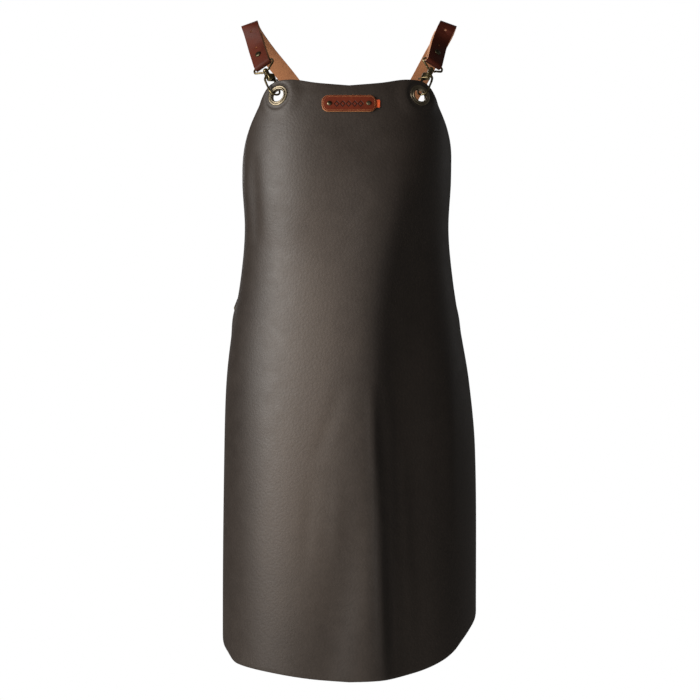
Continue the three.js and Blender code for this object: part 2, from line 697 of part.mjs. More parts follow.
/** A whole strap with both its folded ends, stud holes and adjusting holes. */
function strapPiece(front, rear, stations) {
  const back = [...stations].reverse();
  const { across, normal } = stations[0];
  const forward = across.clone().cross(normal);
  const sense = Math.sign(forward.dot(front.along));
  const layer = (list) => list.map(({ at, across: a, normal: n }) => ({
    at, across: a, normal: n.clone().negate(),
  }));
  const asRun = (list) => list.map(({ at, normal: n }, i) => {
    const along = list[Math.min(i + 1, list.length - 1)].at.clone().sub(list[Math.max(i - 1, 0)].at).normalize();
    const a = along.clone().cross(n).normalize();
    return { at, across: a, normal: a.clone().cross(along) };
  });
  const whole = asRun([
    ...layer(tail(stations, front, FRONT_TAIL)).reverse(),
    ...foldRound(front, sense).slice(0, -1),
    ...stations,
    ...foldRound(rear, sense).reverse().slice(1),
    ...layer(tail(back, rear, REAR_TAIL)),
  ]);
  const [w, t] = [STRAP.width / 2, STRAP.thick / 2];
  let strap = solid(swept(whole, [[-w, -t], [w, -t], [w, t], [-w, t]]));
  const drill = (run, distance, radius) => {
    const { at, normal: n } = stationAt(run, distance);
    const tool = bar(radius, -STRAP.thick * 4, STRAP.thick * 2);
    const turn = new THREE.Quaternion().setFromUnitVectors(vec(0, 0, 1), n);
    strap = strap.subtract(solid(tool.applyQuaternion(turn).translate(at.x, at.y, at.z)));
  };
  for (const run of [stations, back]) drill(run, STUD.at, STUD.post + GAP);
  for (let i = 0; i < PUNCHED.count; i += 1) drill(stations, PUNCHED.first + i * PUNCHED.pitch, PUNCHED.radius);
  return geometryOf(strap);
}

/** The place on a run at a distance from its start. */
function stationAt(stations, distance) {
  const along = distances(stations);
  const i = Math.max(1, along.findIndex((d) => d >= distance));
  const t = (distance - along[i - 1]) / (along[i] - along[i - 1]);
  const [a, b] = [stations[i - 1], stations[i]];
  return {
    at: a.at.clone().lerp(b.at, t),
    across: a.across.clone().lerp(b.across, t).normalize(),
    normal: a.normal.clone().lerp(b.normal, t).normalize(),
  };
}

/** The frame of a stud: on the outer face of a run, pointing out. */
function studFrame(run) {
  const { at, across, normal } = stationAt(run, STUD.at);
  return {
    at: at.clone().addScaledVector(normal, STRAP.thick / 2 + GAP),
    across, up: normal.clone().cross(across), out: normal,
  };
}

// ---- putting it together --------------------------------------------------------------------------

const apron = new THREE.Group();
apron.name = 'welding_apron';

/** Adds one named piece, measured from the level of the shoulder rests. */
function piece(name, geometry, material) {
  const mesh = new THREE.Mesh(geometry.translate(0, 0, -SHOULDER.z), material);
  mesh.name = name;
  apron.add(mesh);
}

piece('apron_panel', apronPanel(), APRON_LEATHER);
for (const [name, { frame }] of Object.entries(EYELETS)) {
  piece(`eyelet_${name}`, seatedOn(eyeletBody(), frame), ANTIQUE_BRASS);
  piece(`eyelet_washer_${name}`, seatedOn(eyeletWasher(), frame), ANTIQUE_BRASS);
}

piece('badge_patch', badgePatch(), STRAP_LEATHER);
piece('badge_tag', sideTag(), TAG_WEAVE);
const rivetLength = BADGE.thick + LEATHER + 2 * GAP + 1;
for (const [name, side] of [['left', -1], ['right', 1]]) {
  const frame = frameOn(leatherPoint, (side * BADGE_RIVET.spacing) / 2, BADGE.z);
  frame.at.addScaledVector(frame.out, BADGE_BACK + BADGE.thick + GAP);
  piece(`badge_rivet_${name}`, seatedOn(domedPost(BADGE_RIVET, rivetLength), frame), ANTIQUE_BRASS);
  const seat = -(BADGE.thick + LEATHER + 3 * GAP);
  piece(`badge_rivet_cap_${name}`, seatedOn(backCap(BADGE_RIVET, rivetLength, seat), frame), ANTIQUE_BRASS);
}

// How each snap hangs from its eyelet: lean of its line, side of the hole it is drawn to, and the
// turn of the hook in its swivel.
const SNAPS = {
  chest_left: { lean: 33, off: 66, turn: -122 },
  chest_right: { lean: 30, off: 60, turn: -58 },
  waist_left: { lean: 40, off: 40, turn: -70 },
  waist_right: { lean: 40, off: 40, turn: -110 },
};
const places = {};
for (const [name, { lean, off, turn }] of Object.entries(SNAPS)) {
  const place = snapPlace(EYELETS[name], lean, off);
  places[name] = place;
  const parts = { gate_pin: crossBar(PIVOT.pin, HOUSING.half), gate: snapGate(), gate_spring: gateSpring(),
    hook: snapHook() };
  piece(`snap_loop_${name}`, snapLoop().applyMatrix4(place.matrix), ANTIQUE_BRASS);
  for (const [part, geometry] of Object.entries(parts)) {
    piece(`snap_${part}_${name}`, geometry.rotateZ(rad(turn)).applyMatrix4(place.matrix), ANTIQUE_BRASS);
  }
}

// The back run of each strap, over the wearer's back: places it passes and which way it faces there.
const over = STRAP.thick + 2 * GAP;
const BACK_RUNS = {
  left: [
    { at: vec(-139, 44, -11), out: vec(-0.25, 0.5, 0.83) },
    { at: vec(-120, 68, -36), out: vec(-0.1, 0.85, 0.5) },
    { at: vec(-88, 84, -74), out: vec(-0.12, 0.97, 0.2) },
    { at: vec(-38, 94, -142), out: vec(0, 1, 0.05) },
    { at: vec(CROSSING.x, CROSSING.y, CROSSING.z), out: vec(0, 1, 0) },
    { at: vec(70, 95, -284), out: vec(0.25, 0.96, 0) },
    { at: vec(108, 83, -332), out: vec(0.55, 0.83, 0) },
  ],
  right: [
    { at: vec(140, 44, -11), out: vec(0.25, 0.5, 0.83) },
    { at: vec(124, 68, -38), out: vec(0.1, 0.85, 0.5) },
    { at: vec(101, 85, -80), out: vec(0.12, 0.97, 0.2) },
    { at: vec(62, 97, -148), out: vec(0, 1, 0.05) },
    { at: vec(CROSSING.x, CROSSING.y + over, CROSSING.z), out: vec(0, 1, 0) },
    { at: vec(-50, 98, -288), out: vec(-0.2, 0.97, 0) },
    { at: vec(-102, 84, -336), out: vec(-0.5, 0.86, 0) },
  ],
};
const studLength = 2 * STRAP.thick + GAP + 1.5;
for (const [name, side] of [['left', -1], ['right', 1]]) {
  const other = name === 'left' ? 'right' : 'left';
  const front = strapEnd(places[`chest_${name}`], 14);
  const rear = strapEnd(places[`waist_${other}`], 6);
  const run = mainRun(front, rear, side, BACK_RUNS[name]);
  piece(`strap_${name}`, strapPiece(front, rear, run), STRAP_LEATHER);
  for (const [end, list] of [['front', run], ['rear', [...run].reverse()]]) {
    const frame = studFrame(list);
    const seat = -(2 * STRAP.thick + 3 * GAP);
    piece(`stud_${end}_${name}`, seatedOn(domedPost(STUD, studLength), frame), ANTIQUE_BRASS);
    piece(`stud_cap_${end}_${name}`, seatedOn(backCap(STUD, studLength, seat), frame), ANTIQUE_BRASS);
  }
}

export default apron;
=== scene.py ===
"""Visual model of a leather welding apron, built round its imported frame.

The apron is waxed charcoal-brown leather, hung from chestnut straps that clip through antique brass
eyelets with swivel snaps. Metres, +Z up, the apron faces -Y and +X is the viewer's right.
"""
import json
import logging
import math
from dataclasses import dataclass, field
from enum import Enum
from typing import Callable, Dict, List, Optional, Sequence, Tuple

import bmesh
import bpy
import numpy as np
from mathutils import Matrix, Vector
from mathutils.bvhtree import BVHTree
from mathutils.geometry import delaunay_2d_cdt


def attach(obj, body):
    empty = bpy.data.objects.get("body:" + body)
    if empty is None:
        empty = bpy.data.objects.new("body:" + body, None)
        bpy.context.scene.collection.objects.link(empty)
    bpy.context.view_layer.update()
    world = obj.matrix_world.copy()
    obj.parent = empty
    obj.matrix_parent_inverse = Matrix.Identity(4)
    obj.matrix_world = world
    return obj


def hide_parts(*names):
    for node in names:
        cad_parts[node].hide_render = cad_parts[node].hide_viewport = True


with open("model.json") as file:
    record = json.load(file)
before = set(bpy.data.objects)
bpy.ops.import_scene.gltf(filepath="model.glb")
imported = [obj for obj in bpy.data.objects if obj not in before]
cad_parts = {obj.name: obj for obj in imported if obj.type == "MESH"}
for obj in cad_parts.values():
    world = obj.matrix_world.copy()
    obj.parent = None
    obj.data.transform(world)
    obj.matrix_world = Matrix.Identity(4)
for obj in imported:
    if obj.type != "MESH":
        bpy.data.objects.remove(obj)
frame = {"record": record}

log = logging.getLogger("apron")

MM = 0.001
GAP = 0.35          # clearance between touching pieces, mm
SHOULDER_LIFT = 5.0  # the form is drawn this far below the shoulder rests, mm

Pair = Tuple[float, float]
Surface = Callable[[np.ndarray, np.ndarray], np.ndarray]


class Station(Enum):
    """The four places where a snap holds an eyelet."""

    CHEST_LEFT = "chest_left"
    CHEST_RIGHT = "chest_right"
    WAIST_LEFT = "waist_left"
    WAIST_RIGHT = "waist_right"

    @property
    def side(self) -> int:
        """-1 on the viewer's left, 1 on the right."""
        return -1 if self.value.endswith("left") else 1

    @property
    def chest(self) -> bool:
        """Whether it is one of the two upper stations."""
        return self.value.startswith("chest")


# ---- modelling helpers ---------------------------------------------------------------------------


def deselect() -> None:
    """Leaves nothing selected."""
    if bpy.context.object and bpy.context.object.mode != "OBJECT":
        bpy.ops.object.mode_set(mode="OBJECT")
    bpy.ops.object.select_all(action="DESELECT")


def take(name: str) -> bpy.types.Object:
    """Names the object that was just added and its mesh.

    Args:
        name: the piece's name.

    Returns:
        The active object.
    """
    obj = bpy.context.object
    obj.name = name
    obj.data.name = name
    return obj


def pick(obj: bpy.types.Object) -> None:
    """Selects one object and makes it active."""
    deselect()
    obj.select_set(True)
    bpy.context.view_layer.objects.active = obj


def edit(obj: bpy.types.Object) -> None:
    """Opens an object in edit mode with all of it selected."""
    pick(obj)
    bpy.ops.object.mode_set(mode="EDIT")
    bpy.ops.mesh.select_all(action="SELECT")


def finish_mesh(obj: bpy.types.Object, merge: float = 1e-6, smooth_deg: float = 38.0) -> None:
    """Closes seams, turns faces outwards and smooths the shading.

    Args:
        obj: the piece.
        merge: distance under which points are one, in metres.
        smooth_deg: edges under this angle are shaded smooth.
    """
    edit(obj)
    bpy.ops.mesh.remove_doubles(threshold=merge)
    bpy.ops.mesh.normals_make_consistent(inside=False)
    bpy.ops.object.mode_set(mode="OBJECT")
    bpy.ops.object.shade_smooth_by_angle(angle=math.radians(smooth_deg))


def turned(name: str, profile: Sequence[Pair], steps: int = 48, smooth_deg: float = 38.0) -> bpy.types.Object:
    """Draws a circle up a profile, as on a lathe.

    Args:
        name: the piece's name.
        profile: (radius, height) pairs in mm; a radius of 0 closes on the axis.
        steps: facets round the axis.
        smooth_deg: edges under this angle are shaded smooth.

    Returns:
        The turned piece about the Z axis.
    """
    tiny = 0.01
    points = [(max(r, tiny) * MM, h * MM) for r, h in profile]
    deselect()
    bpy.ops.mesh.primitive_circle_add(vertices=steps, radius=points[0][0], fill_type="NOTHING", location=(0, 0, 0))
    obj = take(name)
    edit(obj)
    bpy.ops.transform.translate(value=(0, 0, points[0][1]))
    for (r_a, h_a), (r_b, h_b) in zip(points, points[1:]):
        bpy.ops.mesh.extrude_edges_move(TRANSFORM_OT_translate={"value": (0, 0, h_b - h_a)})
        k = r_b / r_a
        if abs(k - 1) > 1e-9:
            bpy.ops.transform.resize(value=(k, k, 1), center_override=(0, 0, h_b))
    finish_mesh(obj, merge=2.5e-5, smooth_deg=smooth_deg)
    return obj


def block(name: str, low: Sequence[float], high: Sequence[float], bevel: float = 0.0,
          segments: int = 3) -> bpy.types.Object:
    """Adds a block between two corners and rounds its edges.

    Args:
        name: the piece's name.
        low: lowest corner, mm.
        high: highest corner, mm.
        bevel: rounding of every edge, mm.
        segments: facets across the rounding.

    Returns:
        The block.
    """
    deselect()
    centre = [(a + b) / 2 * MM for a, b in zip(low, high)]
    size = [(b - a) * MM for a, b in zip(low, high)]
    bpy.ops.mesh.primitive_cube_add(size=1, location=centre, scale=size)
    obj = take(name)
    bpy.ops.object.transform_apply(location=True, rotation=True, scale=True)
    edit(obj)
    if bevel:
        bpy.ops.mesh.bevel(offset=bevel * MM, segments=segments, affect="EDGES")
    bpy.ops.object.mode_set(mode="OBJECT")
    return obj


def wire(name: str, points: Sequence[Sequence[float]], radius: float, closed: bool = False,
         taper: Optional[Sequence[float]] = None) -> bpy.types.Object:
    """Bends a round wire along points.

    Args:
        name: the piece's name.
        points: places along its centre, mm.
        radius: the wire's radius, mm.
        closed: whether the last point joins the first.
        taper: share of the radius at each point.

    Returns:
        The wire as a closed mesh.
    """
    curve = bpy.data.curves.new(name, "CURVE")
    curve.dimensions = "3D"
    curve.bevel_depth = radius * MM
    curve.bevel_resolution = 5
    curve.use_fill_caps = not closed
    spline = curve.splines.new("POLY")
    spline.points.add(len(points) - 1)
    for i, point in enumerate(points):
        spline.points[i].co = (*(c * MM for c in point), 1.0)
        spline.points[i].radius = taper[i] if taper else 1.0
    spline.use_cyclic_u = closed
    obj = bpy.data.objects.new(name, curve)
    bpy.context.scene.collection.objects.link(obj)
    pick(obj)
    bpy.ops.object.convert(target="MESH")
    obj = take(name)
    finish_mesh(obj)
    return obj


def apply_modifier(obj: bpy.types.Object, kind: str, **settings: object) -> None:
    """Adds a modifier, sets it and applies it.

    Args:
        obj: the piece.
        kind: the modifier's type.
        **settings: its properties.
    """
    pick(obj)
    modifier = obj.modifiers.new(kind.title(), kind)
    for key, value in settings.items():
        setattr(modifier, key, value)
    bpy.ops.object.modifier_apply(modifier=modifier.name)


def combine(obj: bpy.types.Object, tool: bpy.types.Object, operation: str) -> None:
    """Joins, cuts or keeps the common part of two closed pieces, and drops the tool."""
    apply_modifier(obj, "BOOLEAN", operation=operation, object=tool, solver="EXACT")
    bpy.data.objects.remove(tool, do_unlink=True)


def copy_of(obj: bpy.types.Object, name: str, matrix: Matrix) -> bpy.types.Object:
    """Copies a piece with its own mesh and puts it in place.

    Args:
        obj: the pattern.
        name: the copy's name.
        matrix: where it goes, in metres.

    Returns:
        The copy.
    """
    twin = obj.copy()
    twin.data = obj.data.copy()
    twin.name = twin.data.name = name
    bpy.context.scene.collection.objects.link(twin)
    twin.data.transform(matrix)
    twin.data.update()
    return twin


def placing(across: Sequence[float], up: Sequence[float], out: Sequence[float], at: Sequence[float]) -> Matrix:
    """The placing whose X, Y and Z axes and origin are given."""
    return Matrix([[float(c) for c in row] for row in zip(across, up, out, at)] + [[0, 0, 0, 1]])


def drop(*objects: bpy.types.Object) -> None:
    """Removes patterns that have been copied."""
    for obj in objects:
        bpy.data.objects.remove(obj, do_unlink=True)


def spline_through(points: Sequence[Pair], per_span: int) -> List[Pair]:
    """Points of a smooth line through places, without the first place.

    Args:
        points: places, the first being where the line starts.
        per_span: points made for each span.

    Returns:
        The points after the first place.
    """
    made: List[Pair] = []
    knots = np.array(points, float)
    for i in range(len(knots) - 1):
        p0, p1, p2, p3 = (knots[min(max(j, 0), len(knots) - 1)] for j in (i - 1, i, i + 1, i + 2))
        v0, v1 = (p2 - p0) / 2, (p3 - p1) / 2
        for k in range(1, per_span + 1):
            t = k / per_span
            p = (2 * p1 - 2 * p2 + v0 + v1) * t ** 3 + (3 * p2 - 3 * p1 - 2 * v0 - v1) * t ** 2 + v0 * t + p1
            made.append((float(p[0]), float(p[1])))
    return made


# ---- material helpers ----------------------------------------------------------------------------


def linear(code: str) -> Tuple[float, float, float, float]:
    """An sRGB hex colour as linear RGBA."""
    channels = [int(code[i:i + 2], 16) / 255 for i in (1, 3, 5)]
    return (*(c / 12.92 if c <= 0.04045 else ((c + 0.055) / 1.055) ** 2.4 for c in channels), 1.0)


def node(tree: bpy.types.NodeTree, kind: str, links: Optional[Dict[object, object]] = None,
         **settings: object) -> bpy.types.Node:
    """Adds a node with its settings and links.

    Args:
        tree: the node tree.
        kind: the node's type.
        links: input name or number, to a value or to another node's output socket.
        **settings: the node's own properties.

    Returns:
        The node.
    """
    made = tree.nodes.new(kind)
    for key, value in settings.items():
        setattr(made, key, value)
    for key, value in (links or {}).items():
        if isinstance(value, bpy.types.NodeSocket):
            tree.links.new(value, made.inputs[key])
        else:
            made.inputs[key].default_value = value
    return made


def ramp(tree: bpy.types.NodeTree, factor: bpy.types.NodeSocket,
         stops: Sequence[Tuple[float, object]]) -> bpy.types.NodeSocket:
    """Adds a colour ramp.

    Args:
        tree: the node tree.
        factor: the socket that the ramp is read by.
        stops: (place, hex colour or grey level) pairs.

    Returns:
        The ramp's colour.
    """
    made = node(tree, "ShaderNodeValToRGB", {"Fac": factor})
    elements = made.color_ramp.elements
    while len(elements) < len(stops):
        elements.new(0.5)
    for element, (place, colour) in zip(elements, stops):
        element.position = place
        element.color = linear(colour) if isinstance(colour, str) else (colour, colour, colour, 1.0)
    return made.outputs["Color"]


def blank(name: str) -> Tuple[bpy.types.Material, bpy.types.NodeTree, bpy.types.Node]:
    """A new material with one Principled shader.

    Returns:
        The material, its tree and its shader.
    """
    material = bpy.data.materials.new(name)
    material.use_nodes = True
    tree = material.node_tree
    tree.nodes.clear()
    shader = node(tree, "ShaderNodeBsdfPrincipled")
    node(tree, "ShaderNodeOutputMaterial", {"Surface": shader.outputs[0]})
    return material, tree, shader


@dataclass(frozen=True)
class Hide:
    """One face of a tanned hide: colours, grain and how it takes the light."""

    name: str
    deep: str
    body: str
    # lightest colour: worn places, and on the apron also painted highlights
    rubbed: str
    pebble_mm: float = 3.0
    crease_mm: float = 11.0
    grain_depth_mm: float = 0.16
    roughness: Tuple[float, float] = (0.42, 0.58)
    specular: float = 0.5
    sheen: float = 0.0
    flat_map: Optional[str] = None
    # name of a point attribute of painted highlights and painted shade, if any
    light_and_pull_attribute: Optional[str] = None
    mottle: float = 0.16
    crease: float = 0.55
    cloud_mm: float = 70.0
    pore_mm: float = 0.9
    warp_mm: float = 5.0
    warp_reach_mm: float = 2.2

    def make(self) -> bpy.types.Material:
        """Builds the hide's material.

        Returns:
            A material with pebbled grain, soft creases and worn, lighter places, and with painted highlights and
            painted shade where an attribute gives them.
        """
        material, tree, shader = blank(self.name)
        if self.flat_map:
            where = node(tree, "ShaderNodeUVMap", uv_map=self.flat_map).outputs["UV"]
        else:
            where = node(tree, "ShaderNodeTexCoord").outputs["Object"]
        clouds = node(tree, "ShaderNodeTexNoise", {
            "Vector": where, "Scale": 1 / (self.cloud_mm * MM), "Detail": 3.0, "Roughness": 0.55})
        blotch = node(tree, "ShaderNodeTexNoise", {
            "Vector": where, "Scale": 1 / (self.crease_mm * 2 * MM), "Detail": 5.0, "Roughness": 0.62})
        fine = node(tree, "ShaderNodeTexNoise", {
            "Vector": where, "Scale": 1 / (self.pore_mm * MM), "Detail": 2.0, "Roughness": 0.6})
        warp = node(tree, "ShaderNodeTexNoise", {"Vector": where, "Scale": 1 / (self.warp_mm * MM), "Detail": 2.0})
        bent = node(tree, "ShaderNodeVectorMath", {0: warp.outputs["Color"], 1: (self.warp_reach_mm * MM,) * 3},
                    operation="MULTIPLY")
        shifted = node(tree, "ShaderNodeVectorMath", {0: where, 1: bent.outputs[0]}, operation="ADD")
        pebble = node(tree, "ShaderNodeTexVoronoi", {
            "Vector": shifted.outputs[0], "Scale": 1 / (self.pebble_mm * MM)}, feature="F1")
        wrinkle = node(tree, "ShaderNodeTexNoise", {
            "Vector": shifted.outputs[0], "Scale": 1 / (self.crease_mm * MM), "Detail": 4.0, "Roughness": 0.6})
        folded = node(tree, "ShaderNodeMath", {0: wrinkle.outputs[0], 1: 0.5}, operation="SUBTRACT")
        ridge = node(tree, "ShaderNodeMath", {0: folded.outputs[0]}, operation="ABSOLUTE")
        mixed = node(tree, "ShaderNodeMix", {0: 0.45, 2: clouds.outputs[0], 3: blotch.outputs[0]}, data_type="FLOAT")
        even = node(tree, "ShaderNodeMapRange", {
            0: mixed.outputs[0], 1: 0.25, 2: 0.75, 3: 0.5 - self.mottle, 4: 0.5 + self.mottle})
        tone = even.outputs[0]
        # painted highlights and painted shade: the attribute lifts the tone towards the lightest colour or lowers it
        # towards the deepest
        if self.light_and_pull_attribute:
            pulled_and_painted_light = node(tree, "ShaderNodeAttribute", attribute_name=self.light_and_pull_attribute)
            lift = node(tree, "ShaderNodeMath", {0: pulled_and_painted_light.outputs["Fac"], 1: 0.5, 2: tone}, operation="MULTIPLY_ADD")
            tone = lift.outputs[0]
        colour = ramp(tree, tone, [(0.25, self.deep), (0.5, self.body), (0.85, self.rubbed)])
        speck = ramp(tree, pebble.outputs["Distance"], [(0.0, 1.0), (0.75, 0.74)])
        toned = node(tree, "ShaderNodeMix", {0: 0.55, 6: colour, 7: speck}, data_type="RGBA", blend_type="MULTIPLY")
        tree.links.new(toned.outputs[2], shader.inputs["Base Color"])
        gloss = node(tree, "ShaderNodeMapRange", {
            0: blotch.outputs[0], 1: 0.3, 2: 0.7, 3: self.roughness[0], 4: self.roughness[1]})
        tree.links.new(gloss.outputs[0], shader.inputs["Roughness"])
        shader.inputs["Specular IOR Level"].default_value = self.specular
        if self.sheen:
            shader.inputs["Sheen Weight"].default_value = self.sheen
            shader.inputs["Sheen Roughness"].default_value = 0.5
        # creases are the deepest, then the gaps between pebbles, then pores
        coarse = node(tree, "ShaderNodeBump", {
            "Height": ridge.outputs[0], "Strength": self.crease, "Distance": self.grain_depth_mm * 9 * MM})
        middle = node(tree, "ShaderNodeBump", {
            "Height": pebble.outputs["Distance"], "Strength": 0.6, "Distance": -self.grain_depth_mm * 2.2 * MM,
            "Normal": coarse.outputs[0]})
        small = node(tree, "ShaderNodeBump", {
            "Height": fine.outputs[0], "Strength": 0.4, "Distance": self.grain_depth_mm * 1.2 * MM,
            "Normal": middle.outputs[0]})
        tree.links.new(small.outputs[0], shader.inputs["Normal"])
        return material


@dataclass(frozen=True)
class AgedBrass:
    """Zinc alloy plated with brass and aged, its darker and brighter patina drawn in random patches."""

    name: str
    dark: str = "#4a3e26"
    body: str = "#8f8156"
    bright: str = "#d6c794"
    roughness: Tuple[float, float] = (0.26, 0.46)
    patch_mm: float = 6.0
    pitting: float = 0.25
    pit_mm: float = 0.7

    def make(self) -> bpy.types.Material:
        """Builds the metal.

        Returns:
            A metal whose patina comes in patches of a few millimetres.
        """
        material, tree, shader = blank(self.name)
        where = node(tree, "ShaderNodeTexCoord").outputs["Object"]
        patina = node(tree, "ShaderNodeTexNoise", {
            "Vector": where, "Scale": 1 / (self.patch_mm * MM), "Detail": 4.0, "Roughness": 0.55})
        pits = node(tree, "ShaderNodeTexNoise", {"Vector": where, "Scale": 1 / (self.pit_mm * MM), "Detail": 2.0})
        colour = ramp(tree, patina.outputs[0], [(0.3, self.dark), (0.48, self.body), (0.68, self.bright)])
        tree.links.new(colour, shader.inputs["Base Color"])
        gloss = node(tree, "ShaderNodeMapRange", {
            0: patina.outputs[0], 1: 0.3, 2: 0.7, 3: self.roughness[1], 4: self.roughness[0]})
        tree.links.new(gloss.outputs[0], shader.inputs["Roughness"])
        shader.inputs["Metallic"].default_value = 1.0
        bump = node(tree, "ShaderNodeBump", {
            "Height": pits.outputs[0], "Strength": self.pitting, "Distance": 0.06 * MM})
        tree.links.new(bump.outputs[0], shader.inputs["Normal"])
        return material


@dataclass(frozen=True)
class WovenTape:
    """Woven polyester tape: fine crossing threads, matt with a little fibre sheen."""

    name: str
    thread: str = "#ff6c2c"
    shadow: str = "#d9501c"
    pitch_mm: float = 0.9   # real threads are about half this; drawn coarser so that they show

    def make(self) -> bpy.types.Material:
        """Builds the weave."""
        material, tree, shader = blank(self.name)
        where = node(tree, "ShaderNodeTexCoord").outputs["Object"]
        scale = 1 / (self.pitch_mm * MM) / 3.2
        up, over = (node(tree, "ShaderNodeTexWave", {"Vector": where, "Scale": scale, "Distortion": 0.4},
                         bands_direction=direction) for direction in ("X", "Z"))
        woven = node(tree, "ShaderNodeMath", {0: up.outputs["Fac"], 1: over.outputs["Fac"]}, operation="MULTIPLY")
        colour = ramp(tree, woven.outputs[0], [(0.0, self.shadow), (0.35, self.thread)])
        tree.links.new(colour, shader.inputs["Base Color"])
        shader.inputs["Roughness"].default_value = 0.85
        shader.inputs["Sheen Weight"].default_value = 0.25
        bump = node(tree, "ShaderNodeBump", {"Height": woven.outputs[0], "Strength": 0.6, "Distance": 0.2 * MM})
        tree.links.new(bump.outputs[0], shader.inputs["Normal"])
        return material


@dataclass(frozen=True)
class ToolingMark:
    """A stamped line of small lozenges along the middle of the badge."""

    pitch_mm: float = 4.2
    half_height_mm: float = 4.6
    reach_mm: float = 21.0
    depth_mm: float = 0.45
    burnt: str = "#2a0e06"

    def press(self, material: bpy.types.Material, centre: Sequence[float]) -> None:
        """Presses the marks into a hide's material.

        Args:
            material: the badge's grain face.
            centre: the badge's middle, in metres.
        """
        tree = material.node_tree
        shader = next(n for n in tree.nodes if n.type == "BSDF_PRINCIPLED")
        before = shader.inputs["Normal"].links[0].from_socket
        base = shader.inputs["Base Color"].links[0].from_socket
        where = node(tree, "ShaderNodeTexCoord").outputs["Object"]
        placed = node(tree, "ShaderNodeMapping", {"Vector": where, "Location": tuple(-c for c in centre)})
        axes = node(tree, "ShaderNodeSeparateXYZ", {0: placed.outputs[0]})
        across = node(tree, "ShaderNodeMath", {0: axes.outputs["X"], 1: self.pitch_mm * MM}, operation="PINGPONG")
        run = node(tree, "ShaderNodeMath", {0: across.outputs[0], 1: 1 / (self.pitch_mm * MM)}, operation="MULTIPLY")
        rise = node(tree, "ShaderNodeMath", {0: axes.outputs["Z"]}, operation="ABSOLUTE")
        tall = node(tree, "ShaderNodeMath", {0: rise.outputs[0], 1: 1 / (self.half_height_mm * MM)},
                    operation="MULTIPLY")
        total = node(tree, "ShaderNodeMath", {0: run.outputs[0], 1: tall.outputs[0]}, operation="ADD")
        off = node(tree, "ShaderNodeMath", {0: total.outputs[0], 1: 0.82}, operation="SUBTRACT")
        near = node(tree, "ShaderNodeMath", {0: off.outputs[0]}, operation="ABSOLUTE")
        line = node(tree, "ShaderNodeMapRange", {0: near.outputs[0], 1: 0.1, 2: 0.3, 3: 1.0, 4: 0.0})
        reach = node(tree, "ShaderNodeMath", {0: axes.outputs["X"]}, operation="ABSOLUTE")
        inside = node(tree, "ShaderNodeMath", {0: reach.outputs[0], 1: self.reach_mm * MM}, operation="LESS_THAN")
        mark = node(tree, "ShaderNodeMath", {0: line.outputs[0], 1: inside.outputs[0]}, operation="MULTIPLY")
        sunk = node(tree, "ShaderNodeBump", {
            "Height": mark.outputs[0], "Strength": 0.9, "Distance": -self.depth_mm * MM, "Normal": before})
        tree.links.new(sunk.outputs[0], shader.inputs["Normal"])
        dark = node(tree, "ShaderNodeMix", {0: mark.outputs[0], 6: base, 7: linear(self.burnt)}, data_type="RGBA")
        tree.links.new(dark.outputs[2], shader.inputs["Base Color"])


# ---- the wearer's form under the leather ---------------------------------------------------------


def through(pairs: Sequence[Pair], at: np.ndarray) -> np.ndarray:
    """Smooth values through given ones.

    Args:
        pairs: (position, value) pairs with rising positions.
        at: positions to read.

    Returns:
        The value at each position, held level past the ends.
    """
    place = np.array([p for p, _ in pairs], float)
    value = np.array([v for _, v in pairs], float)
    slope = np.zeros(len(place))
    slope[1:-1] = (value[2:] - value[:-2]) / (place[2:] - place[:-2])
    at = np.clip(at, place[0], place[-1])
    i = np.clip(np.searchsorted(place, at, side="right") - 1, 0, len(place) - 2)
    span = place[i + 1] - place[i]
    t = (at - place[i]) / span
    a, b = value[i], value[i + 1]
    da, db = slope[i] * span, slope[i + 1] * span
    return a + da * t + (3 * (b - a) - 2 * da - db) * t * t + (2 * (a - b) + da + db) * t ** 3


def ease(x: np.ndarray, low: float, high: float) -> np.ndarray:
    """Smooth step from 0 at low to 1 at high."""
    t = np.clip((x - low) / (high - low), 0, 1)
    return t * t * (3 - 2 * t)


@dataclass(frozen=True)
class Fold:
    """One soft upright fold of the skirt, mm."""

    top: float
    hem: float
    left: float
    right: float
    height: float
    start: float
    full: float

    def rise(self, s: np.ndarray, z: np.ndarray) -> np.ndarray:
        """How far the fold lifts the leather."""
        centre = self.top + (self.hem - self.top) * np.clip((z - self.start) / (self.full - self.start), 0, 1.6)
        width = np.where(s < centre, self.left, self.right)
        return self.height * ease(-z, -self.start, -self.full) * np.exp(-((s - centre) / width) ** 2)


@dataclass(frozen=True)
class Perch:
    """A place on the leather with its own axes, mm."""

    at: np.ndarray
    across: np.ndarray
    up: np.ndarray
    out: np.ndarray

    def matrix(self, lift: float = 0.0) -> Matrix:
        """The placing of a piece made about +Z, in metres, lifted off the middle of the leather."""
        return placing(self.across, self.up, self.out, (self.at + self.out * lift) * MM)


